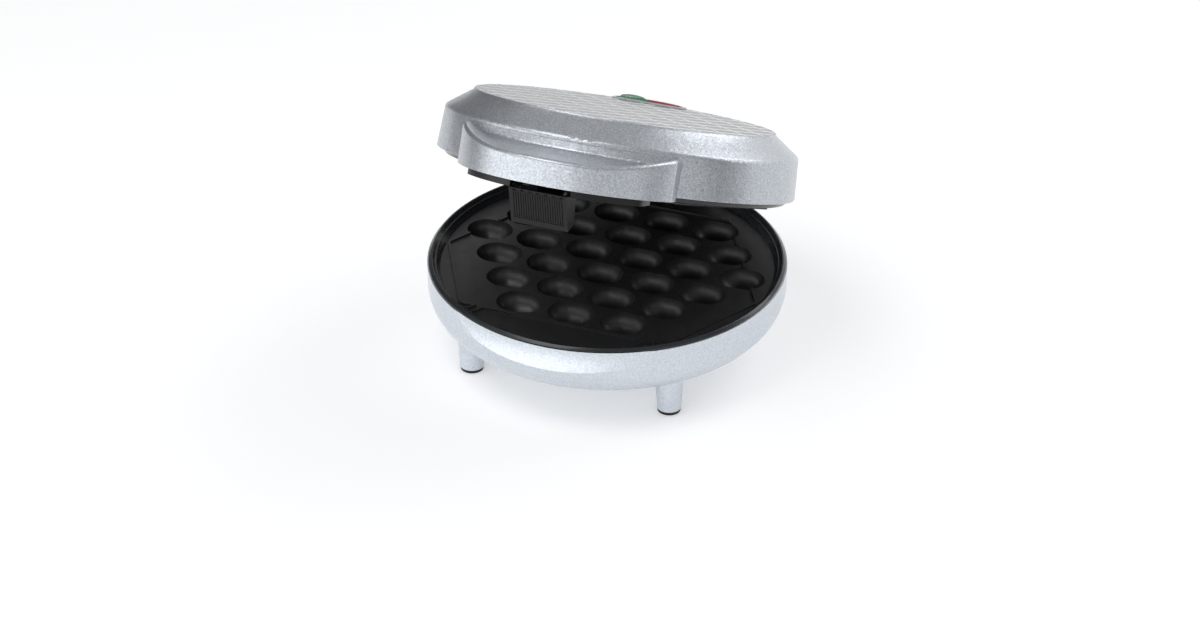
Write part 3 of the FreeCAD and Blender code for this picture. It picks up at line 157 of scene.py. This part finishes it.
class PanStage(PropertyGroup):
    azimuth: angle_setting("Azimuth", 20.364, "Camera's turn from the front")
    elevation: angle_setting("Elevation", 30.933, "Camera's height angle")
    roll: angle_setting("Roll", 0.433, "Camera's tilt about its own line of sight")
    distance: length_setting("Distance", 1.8733, "From the camera to the point it is aimed from")
    lens: FloatProperty(name="Lens", description="Focal length in millimetres", default=91.701,
                        unit="CAMERA", min=1.0)
    key: power_setting("Key Light", 6.0, "Large soft box over the object, in watts")
    fill: power_setting("Fill Light", 4.3, "Soft box at the front left, in watts")
    front: power_setting("Front Light", 3.2, "Low soft box in front, in watts")
    strip: power_setting("Strip Light", 1.0, "Narrow soft box at the right, in watts")
    rear: power_setting("Rear Light", 5.0, "Soft box at the back right, in watts")
    card: level_setting("Grey Card", 0.44, "Brightness of the upper part of the dome that only gloss sees")
    flags: level_setting("Flags", 0.12, "Brightness of the two dark flags beside the set")
    surround: FloatProperty(name="Surround", description="Brightness of the room's soft light",
                            default=0.42, min=0.0)
    floor: colour_setting("Floor", (0.80, 0.80, 0.80), "Plain pale floor")
    floor_glow: level_setting("Floor Glow", 0.35, "White added to the floor where it is seen")


class Finish:
    """One procedural material and the nodes that feed its shader."""

    def __init__(self, name):
        self.material = bpy.data.materials.new(name)
        self.material.use_nodes = True
        self.tree = self.material.node_tree
        self.shader = self.tree.nodes["Principled BSDF"]
        self.surface = self.tree.nodes["Material Output"].inputs["Surface"]
        self.coords = self.add("ShaderNodeTexCoord").outputs["Object"]

    def add(self, kind, **sockets):
        made = self.tree.nodes.new(kind)
        for socket, value in sockets.items():
            self.feed(made.inputs[socket.replace("_", " ")], value)
        return made

    def feed(self, socket, value):
        if isinstance(value, bpy.types.NodeSocket):
            self.tree.links.new(value, socket)
        elif isinstance(value, (tuple, list)) or hasattr(value, "r"):
            parts = tuple(value)
            socket.default_value = (*parts[:3], 1.0) if len(socket.default_value) == 4 else parts[:3]
        else:
            socket.default_value = value

    def set(self, **sockets):
        for socket, value in sockets.items():
            self.feed(self.shader.inputs[socket.replace("_", " ")], value)

    def stretched(self, stretch):
        return self.add("ShaderNodeMapping", Vector=self.coords, Scale=stretch).outputs["Vector"]

    def noise(self, scale, detail=2.0, roughness=0.5, stretch=None):
        place = self.stretched(stretch) if stretch else self.coords
        made = self.add("ShaderNodeTexNoise", Vector=place, Scale=scale, Detail=detail, Roughness=roughness)
        return made.outputs["Fac"]

    def cells(self, size):
        made = self.add("ShaderNodeTexVoronoi", Vector=self.coords, Scale=1.0 / size)
        return made.outputs["Color"]

    def blend(self, factor, first, second):
        made = self.tree.nodes.new("ShaderNodeMix")
        made.data_type = "RGBA"
        self.feed(made.inputs[0], factor)
        self.feed(made.inputs[6], first)
        self.feed(made.inputs[7], second)
        return made.outputs[2]

    def span(self, factor, low, high, start=0.25, end=0.75):
        made = self.add("ShaderNodeMapRange", Value=factor, From_Min=start, From_Max=end,
                        To_Min=low, To_Max=high)
        return made.outputs["Result"]

    def bump(self, height, depth, under=None):
        made = self.add("ShaderNodeBump", Strength=1.0, Distance=depth, Height=height)
        if under is not None:
            self.feed(made.inputs["Normal"], under)
        return made.outputs["Normal"]

    def vector_math(self, kind, *values):
        made = self.tree.nodes.new("ShaderNodeVectorMath")
        made.operation = kind
        for socket, value in zip(made.inputs, values):
            self.feed(socket, value)
        return made.outputs[0]

    def flaked(self, size, lean):
        """Normal that each flake leans a little, from its cell's own colour."""
        around = self.vector_math("MULTIPLY_ADD", self.cells(size), (lean * 2, lean * 2, lean * 2),
                                  (-lean, -lean, -lean))
        normal = self.add("ShaderNodeNewGeometry").outputs["Normal"]
        return self.vector_math("NORMALIZE", self.vector_math("ADD", around, normal))

    def shining(self, level):
        """The surface gives off white light at this level and reflects nothing."""
        glow = self.add("ShaderNodeEmission", Strength=level)
        self.feed(self.surface, glow.outputs[0])
        return self.material


def shaded(colour, share, lift=0.0):
    """The colour times a share, with a little white added."""
    return tuple(c * share + lift for c in colour)


def metallic_paint(name, bright, dark, flake, rough=0.36, metal=0.85):
    """Silver paint: a fine grain of flakes that lean a little, a slow drift, a thin clear coat."""
    paint = Finish(name)
    grain = paint.span(paint.noise(1.0 / flake, 2.0, 0.8), 0.0, 0.85, 0.36, 0.64)
    drift = paint.span(paint.noise(22.0, 2.0), 0.0, 0.2)
    paint.set(Base_Color=paint.blend(drift, paint.blend(grain, bright, dark), dark))
    paint.set(Metallic=metal, Coat_Weight=0.25, Coat_Roughness=0.18, Coat_IOR=1.5)
    paint.set(Roughness=paint.span(paint.noise(0.5 / flake, 1.0), rough - 0.03, rough + 0.07))
    paint.set(Normal=paint.flaked(flake * 0.7, 0.05))
    return paint.material


def field_paint(name, bright, dark, grain=1500.0, rough=0.42, metal=0.35, depth=0.00001):
    """Satin silver of the top disc: finer grain, hardly any coat."""
    paint = Finish(name)
    tone = paint.span(paint.noise(grain, 3.0, 0.6), 0.0, 1.0)
    paint.set(Base_Color=paint.blend(tone, bright, dark), Metallic=metal)
    paint.set(Roughness=paint.span(paint.noise(90.0, 2.0), rough - 0.06, rough + 0.06))
    paint.set(Normal=paint.bump(paint.noise(grain * 0.6, 2.0), depth), Coat_Weight=0.15, Coat_Roughness=0.2)
    return paint.material


def nonstick(name, colour):
    """Sprayed non-stick coating: fine orange peel, a few paler specks, soft sheen."""
    coat = Finish(name)
    specks = coat.span(coat.noise(2400.0, 2.0, 0.7), 0.0, 1.0, 0.58, 0.74)
    haze = coat.span(coat.noise(60.0, 3.0), 0.0, 0.4)
    tone = coat.blend(specks, colour, shaded(colour, 2.6, 0.01))
    coat.set(Base_Color=coat.blend(haze, tone, shaded(colour, 1.5)))
    coat.set(Roughness=coat.span(coat.noise(140.0, 3.0), 0.30, 0.46), Specular_IOR_Level=0.5)
    peel = coat.bump(coat.noise(700.0, 3.0), 0.00003)
    coat.set(Normal=coat.bump(coat.noise(2600.0, 1.0), 0.000008, peel))
    return coat.material


def moulded(name, colour, rough=0.35, grain=1400.0, depth=0.00002, coat=0.0):
    """Moulded plastic: spark-eroded grain, slow changes of gloss."""
    plastic = Finish(name)
    tone = plastic.span(plastic.noise(grain * 0.5, 3.0), 0.0, 1.0)
    paler = tuple(min(1.0, c) for c in shaded(colour, 1.35, 0.003))
    plastic.set(Base_Color=plastic.blend(tone, colour, paler))
    plastic.set(Roughness=plastic.span(plastic.noise(110.0, 3.0), rough - 0.06, rough + 0.08))
    plastic.set(Normal=plastic.bump(plastic.noise(grain, 3.0, 0.6), depth))
    plastic.set(Coat_Weight=coat, Coat_Roughness=0.1, Specular_IOR_Level=0.3)
    return plastic.material


def rubbery(name, colour):
    """Soft rubber with dust in its pores."""
    rubber = Finish(name)
    dust = rubber.span(rubber.noise(420.0, 4.0, 0.7), 0.0, 0.5, 0.5, 0.8)
    rubber.set(Base_Color=rubber.blend(dust, colour, (0.10, 0.10, 0.10)))
    rubber.set(Roughness=rubber.span(rubber.noise(300.0, 3.0), 0.62, 0.86))
    rubber.set(Normal=rubber.bump(rubber.noise(1800.0, 4.0), 0.00004), Specular_IOR_Level=0.35)
    return rubber.material


def metal(name, colour, rough=0.3, stretch=(1.0, 1.0, 1.0), grain=600.0, tarnish=(0.2, 0.17, 0.14)):
    """Bare metal: drawn or brushed grain with a little tarnish."""
    bare = Finish(name)
    lines = bare.noise(grain, 3.0, 0.6, stretch)
    stain = bare.span(bare.noise(45.0, 4.0), 0.0, 0.35, 0.45, 0.75)
    tone = bare.blend(bare.span(lines, 0.0, 1.0), colour, shaded(colour, 0.78))
    bare.set(Base_Color=bare.blend(stain, tone, tarnish), Metallic=1.0)
    bare.set(Roughness=bare.span(lines, rough - 0.08, rough + 0.12))
    bare.set(Normal=bare.bump(lines, 0.00001))
    return bare.material


def tinted_lens(name, colour, clear=0.45):
    """Tinted clear plastic with faint moulding ripples."""
    lens = Finish(name)
    ripples = lens.span(lens.noise(160.0, 2.0), 0.0, 1.0)
    lens.set(Base_Color=lens.blend(ripples, colour, shaded(colour, 0.6)))
    lens.set(Transmission_Weight=clear, IOR=1.49, Coat_Weight=0.4, Coat_Roughness=0.05)
    lens.set(Roughness=lens.span(lens.noise(220.0, 2.0), 0.10, 0.22))
    lens.set(Normal=lens.bump(lens.noise(300.0, 2.0), 0.00002))
    return lens.material


def glassy(name):
    """Clear lamp glass with a grey film."""
    glass = Finish(name)
    film = glass.span(glass.noise(400.0, 3.0), 0.0, 0.3)
    glass.set(Base_Color=glass.blend(film, (0.95, 0.95, 0.93), (0.6, 0.6, 0.6)))
    glass.set(Transmission_Weight=0.9, IOR=1.5)
    glass.set(Roughness=glass.span(glass.noise(200.0, 2.0), 0.03, 0.12))
    return glass.material


def merged_copy(node):
    """Fresh bmesh of a CAD node with its loose triangles joined and its flat faces made whole."""
    bm = bmesh.new()
    bm.from_mesh(frame["nodes"][node].data)
    bmesh.ops.remove_doubles(bm, verts=bm.verts, dist=0.000002)
    bmesh.ops.dissolve_limit(bm, angle_limit=radians(0.4), verts=bm.verts, edges=bm.edges)
    return bm


def mark_smooth(bm, crease):
    """Shades the faces smooth, apart from edges sharper than the crease."""
    for face in bm.faces:
        face.smooth = True
    for edge in bm.edges:
        edge.smooth = len(edge.link_faces) == 2 and edge.calc_face_angle(0.0) < crease


def piece_from(bm, name, body, slot, nodes, *materials):
    """Object at the origin from a bmesh in metres; it stands for its nodes and rides on its body."""
    mesh = bpy.data.meshes.new(name)
    bm.to_mesh(mesh)
    bm.free()
    piece = bpy.data.objects.new(name, mesh)
    bpy.context.scene.collection.objects.link(piece)
    for material in materials:
        mesh.materials.append(material)
    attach(piece, body)
    if nodes:
        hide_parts(*nodes)
    return piece


def soften_edges(piece, width, segments=2, angle=32.0):
    """Small rounding on the piece's hard edges, with face-weighted shading."""
    bevel = piece.modifiers.new("Rounded Edges", "BEVEL")
    bevel.limit_method = "ANGLE"
    bevel.angle_limit = radians(angle)
    bevel.width = width
    bevel.segments = segments
    bevel.use_clamp_overlap = True
    shading = piece.modifiers.new("Even Shading", "WEIGHTED_NORMAL")
    shading.keep_sharp = True


def shell_copy(node, body, slot, edge, materials, crease=38.0, zones=None):
    """Finished copy of a CAD node: merged, smoothed, edges rounded, faces zoned by material."""
    bm = merged_copy(node)
    mark_smooth(bm, radians(crease))
    if zones:
        zones(bm)
    soften_edges(piece_from(bm, node + "_finished", body, slot, [node], *materials), edge)


def wear(node, material):
    """Gives a carried-over CAD node its material."""
    mesh = frame["nodes"][node].data
    mesh.materials.clear()
    mesh.materials.append(material)


def lattice_zones(bm):
    """Lowers the lattice ridges and marks the lid's top: 1 for the field, 2 for the ridges."""
    kept_share = 0.28
    margin = 0.0002
    field_height = 0.00005
    facing_up = 0.95
    facing_down = -0.1
    turn = FROM_LID.to_3x3()
    field = Matrix.Translation((0.0, 0.0, -RIM - DISC_LIFT)) @ FROM_LID
    crests = [v for v in bm.verts if (field @ v.co).z > margin and (field @ v.co).xy.length < DISC_RADIUS]
    bmesh.ops.scale(bm, vec=(1.0, 1.0, kept_share), space=field, verts=crests)
    for face in bm.faces:
        place = FROM_LID @ face.calc_center_median()
        facing = (turn @ face.normal).z
        height = place.z - RIM - DISC_LIFT
        if place.xy.length > DISC_RADIUS or height < -margin or facing < facing_down:
            continue
        face.material_index = 1 if height < field_height and facing > facing_up else 2


def latch_marks(bm):
    """Seven scallops under the clip's top bar and a row of small studs where its ribs end."""
    scallops = 7
    studs = 17
    sunk = 0.0003
    scallop_drop = 0.0018
    scallop_pitch = LATCH_HALF_WIDTH / 3.6
    stud_drop = 0.0198
    stud_pitch = LATCH_HALF_WIDTH / 9.2
    for i in range(scallops):
        place = LATCH_FACE @ Matrix.Translation((scallop_pitch * (i - scallops // 2), -scallop_drop, -sunk))
        scallop = bmesh.ops.create_cone(bm, cap_ends=True, segments=20, radius1=0.0015, radius2=0.0013,
                                        depth=0.0006, matrix=place)
        rims = [e for v in scallop["verts"] for e in v.link_edges]
        bmesh.ops.bevel(bm, geom=list(dict.fromkeys(rims)), offset=0.0001, offset_type="OFFSET", segments=2,
                        profile=0.5, affect="EDGES", material=-1)
    for i in range(studs):
        place = LATCH_FACE @ Matrix.Translation((stud_pitch * (i - studs // 2), -stud_drop, -sunk))
        bmesh.ops.create_uvsphere(bm, u_segments=12, v_segments=8, radius=0.00042, matrix=place)


def lens_form(side, rise):
    """Half of the window's lens in its place: a bar with a round end that sinks towards it."""
    gap = 0.0001
    depth = 0.0012
    inner_end = 0.0005
    round_share = 0.96
    sunk_share = 0.35
    bm = bmesh.new()
    block = Matrix.Translation((side * (gap + LENS_LENGTH / 2), 0.0, (rise - depth) / 2)) @ Matrix.Diagonal(
        (LENS_LENGTH - 2 * gap, LENS_HALF_WIDTH * 2, rise + depth, 1.0))
    bmesh.ops.create_cube(bm, size=1.0, matrix=block)
    ends = [e for e in bm.edges if all(side * v.co.x > LENS_LENGTH / 2 for v in e.verts)
            and abs(e.verts[0].co.z - e.verts[1].co.z) > rise / 2]
    bmesh.ops.bevel(bm, geom=ends, offset=LENS_HALF_WIDTH * round_share, segments=8, profile=0.5,
                    affect="EDGES", material=-1)
    crown = [e for e in bm.edges if all(v.co.z > rise * 0.9 for v in e.verts)
             and not all(abs(v.co.x) < inner_end for v in e.verts)]
    bmesh.ops.bevel(bm, geom=crown, offset=0.0011, segments=5, profile=0.5, affect="EDGES", material=-1)
    long_edges = [e for e in bm.edges if e.calc_length() > LENS_LENGTH * 0.4]
    bmesh.ops.subdivide_edges(bm, edges=long_edges, cuts=6)
    for vert in bm.verts:
        if vert.co.z > 0.0:
            vert.co.z *= 1.0 - sunk_share * (abs(vert.co.x) / LENS_LENGTH) ** 3
    bmesh.ops.recalc_face_normals(bm, faces=bm.faces)
    bmesh.ops.transform(bm, matrix=WINDOW, verts=bm.verts)
    return bm


def clear_dome(bm, rise):
    """Long clear dome on the green lens, marked 1."""
    sunk = 0.0006
    half_sizes = (0.0085, 0.0027, 0.0021)
    place = WINDOW @ Matrix.Translation((-0.0105, 0.0, rise - sunk)) @ Matrix.Diagonal((*half_sizes, 1.0))
    made = bmesh.ops.create_uvsphere(bm, u_segments=40, v_segments=20, radius=1.0, matrix=place)
    for face in {face for vert in made["verts"] for face in vert.link_faces}:
        face.material_index = 1


class WAFFLE_OT_lid_shell(Operator):
    """Painted lid with its lattice disc, handle and hinge barrel"""
    bl_idname = "waffle.lid_shell"
    bl_label = "Lid Shell"

    def execute(self, context):
        paint = context.scene.pan_paint
        silver = metallic_paint("lid_silver_paint", paint.lid_silver, paint.lid_shade, paint.flake)
        field = field_paint("disc_field_paint", paint.field, shaded(paint.field, 0.8))
        ridge = field_paint("lattice_ridge_paint", paint.ridge, shaded(paint.ridge, 0.93), rough=0.34,
                            metal=0.6)
        shell_copy("lid_shell", "lid", "silver_shell", paint.edge, (silver, field, ridge),
                   zones=lattice_zones)
        return {"FINISHED"}


class WAFFLE_OT_base_shell(Operator):
    """Painted bowl with its feet, hinge ears and finger scoop"""
    bl_idname = "waffle.base_shell"
    bl_label = "Base Shell"

    def execute(self, context):
        paint = context.scene.pan_paint
        silver = metallic_paint("bowl_silver_paint", paint.bowl_silver, paint.bowl_shade, paint.flake,
                                rough=0.42)
        shell_copy("base_shell", "base", "silver_shell", paint.edge, (silver,), crease=16.0)
        return {"FINISHED"}


class WAFFLE_OT_rings(Operator):
    """Dark rings on the bowl's rim and round the upper plate"""
    bl_idname = "waffle.rings"
    bl_label = "Rim Rings"

    def execute(self, context):
        casting = context.scene.pan_casting
        gloss = moulded("ring_plastic", casting.ring, rough=0.22, grain=900.0, depth=0.000008, coat=0.3)
        shell_copy("base_ring", "base", "dark_ring", casting.lip, (gloss,))
        shell_copy("lid_ring", "lid", "dark_ring", casting.edge, (gloss,))
        return {"FINISHED"}


class WAFFLE_OT_plates(Operator):
    """Two coated cooking plates with their oval cups"""
    bl_idname = "waffle.plates"
    bl_label = "Cooking Plates"

    def execute(self, context):
        casting = context.scene.pan_casting
        coating = nonstick("plate_coating", casting.coating)
        shell_copy("lower_cooking_plate", "base", "nonstick", casting.edge, (coating,))
        shell_copy("upper_cooking_plate", "lid", "nonstick", casting.edge, (coating,))
        return {"FINISHED"}


class WAFFLE_OT_latch(Operator):
    """Ribbed latch clip with its pin, the plate under the handle and the hinge pin"""
    bl_idname = "waffle.latch"
    bl_label = "Latch"

    def execute(self, context):
        trim = context.scene.pan_trim
        satin = moulded("latch_plastic", trim.black, rough=0.30, grain=1600.0, depth=0.00001)
        clip_rounding = 0.00015
        underplate_rounding = 0.0006
        shell_copy("latch_clip", "latch", "black_plastic", clip_rounding, (satin,))
        bm = bmesh.new()
        latch_marks(bm)
        mark_smooth(bm, radians(40.0))
        piece_from(bm, "latch_scallops", "latch", "black_plastic", [], satin)
        shell_copy("handle_underplate", "lid", "black_plastic", underplate_rounding, (satin,))
        steel = metal("pin_steel", (0.55, 0.55, 0.56), rough=0.25)
        wear("latch_pin", steel)
        wear("hinge_pin", steel)
        return {"FINISHED"}


class WAFFLE_OT_feet(Operator):
    """Rubber foot tips and the bush of the cord inlet"""
    bl_idname = "waffle.feet"
    bl_label = "Rubber Tips"

    def execute(self, context):
        rubber = rubbery("tip_rubber", context.scene.pan_trim.rubber)
        rounding = 0.0004
        for corner in ("back_right", "back_left", "front_left", "front_right"):
            shell_copy("foot_tip_" + corner, "base", "rubber", rounding, (rubber,))
        shell_copy("cord_gland", "base", "fitting_plastic", rounding, (rubber,))
        return {"FINISHED"}


class WAFFLE_OT_lamps(Operator):
    """Indicator window: bezel, green and red lens, and the lamps behind them"""
    bl_idname = "waffle.lamps"
    bl_label = "Indicator Window"

    def execute(self, context):
        trim = context.scene.pan_trim
        rounding = 0.0003
        grey = moulded("bezel_plastic", trim.bezel)
        shell_copy("indicator_bezel", "lid", "bezel_grey", rounding, (grey,))
        for side, colour in ((-1, "green"), (1, "red")):
            bm = lens_form(side, trim.lens_rise)
            plastics = [tinted_lens(colour + "_lens_plastic", getattr(trim, colour))]
            if colour == "green":
                clear_dome(bm, trim.lens_rise)
                plastics.append(tinted_lens("clear_green_plastic", trim.glow, clear=0.7))
            mark_smooth(bm, radians(50.0))
            piece_from(bm, colour + "_lens_dome", "lid", "lens_" + colour, [colour + "_lens"], *plastics)
        wear("neon_lamps", glassy("lamp_glass"))
        wear("lamp_holder", moulded("holder_plastic", (0.62, 0.60, 0.55), rough=0.45))
        return {"FINISHED"}


class WAFFLE_OT_inner_works(Operator):
    """Elements, shields, screws, thermostat, fuse, terminals and leads"""
    bl_idname = "waffle.inner_works"
    bl_label = "Inner Works"

    def execute(self, context):
        sheath = metal("element_sheath", (0.36, 0.34, 0.32), rough=0.42, tarnish=(0.12, 0.08, 0.10))
        sheet = metal("shield_sheet", (0.60, 0.61, 0.62), rough=0.34, stretch=(0.06, 1.0, 1.0))
        zinc = metal("zinc_screw", (0.58, 0.58, 0.56), rough=0.28, grain=900.0)
        ceramic = moulded("thermostat_body", (0.78, 0.76, 0.70), rough=0.5, grain=800.0)
        fitting = moulded("terminal_plastic", (0.70, 0.68, 0.62), rough=0.42)
        sleeve = moulded("wire_sleeve", (0.55, 0.54, 0.50), rough=0.55, grain=2200.0, depth=0.00003)
        for material, nodes in (
            (sheath, ("lower_heating_element", "upper_heating_element")),
            (sheet, ("lower_heat_shield", "upper_heat_shield", "thermostat_bracket", "earth_tag")),
            (zinc, ("lower_plate_screws", "upper_plate_screws", "upper_shield_screws", "terminal_screws",
                    "earth_screw", "underplate_screws")),
            (ceramic, ("thermostat", "thermal_fuse")),
            (fitting, ("terminal_block",)),
            (sleeve, ("base_wiring", "lid_wiring")),
        ):
            for node in nodes:
                wear(node, material)
        return {"FINISHED"}


def soft_box(name, place, aim, width, height, watts):
    """Rectangular area lamp that the camera doesn't see, turned to its aim."""
    light = bpy.data.lights.new(name, "AREA")
    light.shape = "RECTANGLE"
    light.size = width
    light.size_y = height
    light.energy = watts
    lamp = bpy.data.objects.new(name, light)
    bpy.context.scene.collection.objects.link(lamp)
    lamp.visible_camera = False
    lamp.location = place
    lamp.rotation_euler = (Vector(aim) - Vector(place)).to_track_quat("-Z", "Y").to_euler()


def set_piece(bm, name, material, gloss_only=False):
    """Floor, card or flag of the set; one that is gloss only shows in reflections and nowhere else."""
    mesh = bpy.data.meshes.new(name)
    bm.to_mesh(mesh)
    bm.free()
    mesh.materials.append(material)
    prop = bpy.data.objects.new(name, mesh)
    bpy.context.scene.collection.objects.link(prop)
    if gloss_only:
        prop.visible_camera = prop.visible_diffuse = prop.visible_shadow = prop.visible_transmission = False


def seen_rays(tree):
    """1 on camera, glossy and transmission rays, 0 on the rest."""
    path = tree.nodes.new("ShaderNodeLightPath")
    total = path.outputs["Is Camera Ray"]
    for name in ("Is Glossy Ray", "Is Transmission Ray"):
        highest = tree.nodes.new("ShaderNodeMath")
        highest.operation = "MAXIMUM"
        tree.links.new(total, highest.inputs[0])
        tree.links.new(path.outputs[name], highest.inputs[1])
        total = highest.outputs[0]
    return total


def chosen_by_ray(tree, hidden, seen, output):
    """Sends one shader to the rays that see it and the other to the rest."""
    choice = tree.nodes.new("ShaderNodeMixShader")
    tree.links.new(seen_rays(tree), choice.inputs[0])
    tree.links.new(hidden, choice.inputs[1])
    tree.links.new(seen, choice.inputs[2])
    tree.links.new(choice.outputs[0], output)


def lay_floor(stage):
    """Wide disc of pale matt paper that glows a little where it is seen."""
    bm = bmesh.new()
    bmesh.ops.create_circle(bm, cap_ends=True, segments=96, radius=9.0)
    matt = Finish("floor_paper")
    fibre = matt.span(matt.noise(500.0, 3.0), 0.0, 1.0)
    matt.set(Base_Color=matt.blend(fibre, stage.floor, shaded(stage.floor, 0.985)), Roughness=0.9)
    matt.set(Specular_IOR_Level=0.1)
    glow = matt.add("ShaderNodeEmission", Color=(1.0, 1.0, 1.0), Strength=stage.floor_glow)
    both = matt.tree.nodes.new("ShaderNodeAddShader")
    matt.feed(both.inputs[0], matt.shader.outputs[0])
    matt.feed(both.inputs[1], glow.outputs[0])
    chosen_by_ray(matt.tree, matt.shader.outputs[0], both.outputs[0], matt.surface)
    set_piece(bm, "floor", matt.material)


def light_room(stage):
    """World: soft light on the object, plain white where it is seen."""
    world = bpy.data.worlds.new("white_surround")
    bpy.context.scene.world = world
    world.use_nodes = True
    tree = world.node_tree
    room = tree.nodes["Background"]
    room.inputs["Color"].default_value = (0.96, 0.98, 1.0, 1.0)
    room.inputs["Strength"].default_value = stage.surround
    white = tree.nodes.new("ShaderNodeBackground")
    white.inputs["Color"].default_value = (1.0, 1.0, 1.0, 1.0)
    white.inputs["Strength"].default_value = 1.0
    chosen_by_ray(tree, room.outputs[0], white.outputs[0], tree.nodes["World Output"].inputs["Surface"])


def hang_cards(stage):
    """Dome over the set, pale low down and grey above, and two dark flags, all for reflections alone."""
    pale = 0.95
    fade_start = 0.5
    fade_end = 1.5
    bm = bmesh.new()
    bmesh.ops.create_uvsphere(bm, u_segments=64, v_segments=32, radius=2.8)
    bmesh.ops.bisect_plane(bm, geom=[*bm.verts, *bm.edges, *bm.faces], plane_co=(0.0, 0.0, 0.02),
                           plane_no=(0.0, 0.0, -1.0), clear_outer=True)
    grey = Finish("grey_dome")
    height = grey.add("ShaderNodeSeparateXYZ", Vector=grey.coords).outputs["Z"]
    level = grey.span(height, pale, stage.card, fade_start, fade_end)
    set_piece(bm, "grey_card", grey.shining(level), gloss_only=True)
    for name, place, length, tall in FLAGS:
        bm = bmesh.new()
        upright = Matrix.Translation(place) @ Matrix.Rotation(radians(90.0), 4, "Y") @ Matrix.Diagonal(
            (tall / 2, length / 2, 1.0, 1.0))
        bmesh.ops.create_grid(bm, x_segments=1, y_segments=1, size=1.0, matrix=upright)
        set_piece(bm, name, Finish(name).shining(stage.flags), gloss_only=True)


def set_camera(stage):
    """Camera at the photograph's viewing angle, with its aim a little off the frame's centre."""
    back = Vector((sin(stage.azimuth) * cos(stage.elevation), -cos(stage.azimuth) * cos(stage.elevation),
                   sin(stage.elevation)))
    right = Vector((cos(stage.azimuth), sin(stage.azimuth), 0.0))
    above = back.cross(right)
    across = right * cos(stage.roll) + above * sin(stage.roll)
    upright = above * cos(stage.roll) - right * sin(stage.roll)
    sight = Vector((*AIM_OFFSET, -stage.lens * PICTURE_WIDTH / SENSOR_WIDTH)).normalized()
    aim = Vector((0.0, 0.0, -1.0)).rotation_difference(sight).to_matrix()
    turned = (aim @ Matrix((across, upright, back))).transposed().to_4x4()
    lens = bpy.data.cameras.new("photo_camera")
    lens.sensor_width = SENSOR_WIDTH
    lens.lens = stage.lens
    lens.clip_end = 50.0
    camera = bpy.data.objects.new("photo_camera", lens)
    bpy.context.scene.collection.objects.link(camera)
    place = Vector((0.0, 0.0, AIM_HEIGHT)) + SETBACK + back * stage.distance
    camera.matrix_world = Matrix.Translation(place) @ turned
    bpy.context.scene.camera = camera


class WAFFLE_OT_stage(Operator):
    """Pale floor, white surround, cards for the reflections, five soft boxes and the camera"""
    bl_idname = "waffle.stage"
    bl_label = "Stage"

    def execute(self, context):
        stage = context.scene.pan_stage
        lay_floor(stage)
        light_room(stage)
        hang_cards(stage)
        for name, place, aim_height, width, height in SOFT_BOXES:
            soft_box(name + "_box", place, (0.0, 0.0, aim_height), width, height, getattr(stage, name))
        set_camera(stage)
        context.scene.view_settings.view_transform = "Standard"
        return {"FINISHED"}


class WAFFLE_PT_pan(Panel):
    """Lists the pan's settings and the operators that make its pieces"""
    bl_idname = "WAFFLE_PT_pan"
    bl_label = "Egg Waffle Pan"
    bl_space_type = "VIEW_3D"
    bl_region_type = "UI"
    bl_category = "Waffle Pan"

    def draw(self, context):
        for title, settings in SETTINGS.items():
            box = self.layout.box()
            box.label(text=title.replace("_", " ").title())
            group = getattr(context.scene, title)
            for name in settings.__annotations__:
                box.prop(group, name)
        for made in MAKERS:
            self.layout.operator(made.bl_idname)


SETTINGS = {"pan_paint": PanPaint, "pan_casting": PanCasting, "pan_trim": PanTrim, "pan_stage": PanStage}
MAKERS = (WAFFLE_OT_lid_shell, WAFFLE_OT_base_shell, WAFFLE_OT_rings, WAFFLE_OT_plates, WAFFLE_OT_latch,
          WAFFLE_OT_feet, WAFFLE_OT_lamps, WAFFLE_OT_inner_works, WAFFLE_OT_stage)
CLASSES = (*SETTINGS.values(), *MAKERS, WAFFLE_PT_pan)


def register():
    for made in CLASSES:
        bpy.utils.register_class(made)
    for title, settings in SETTINGS.items():
        setattr(bpy.types.Scene, title, PointerProperty(type=settings))


def unregister():
    for title in SETTINGS:
        delattr(bpy.types.Scene, title)
    for made in reversed(CLASSES):
        bpy.utils.unregister_class(made)


def main():
    register()
    bpy.ops.waffle.lid_shell()
    bpy.ops.waffle.base_shell()
    bpy.ops.waffle.rings()
    bpy.ops.waffle.plates()
    bpy.ops.waffle.latch()
    bpy.ops.waffle.feet()
    bpy.ops.waffle.lamps()
    bpy.ops.waffle.inner_works()
    bpy.ops.waffle.stage()


if __name__ == "__main__":
    main()
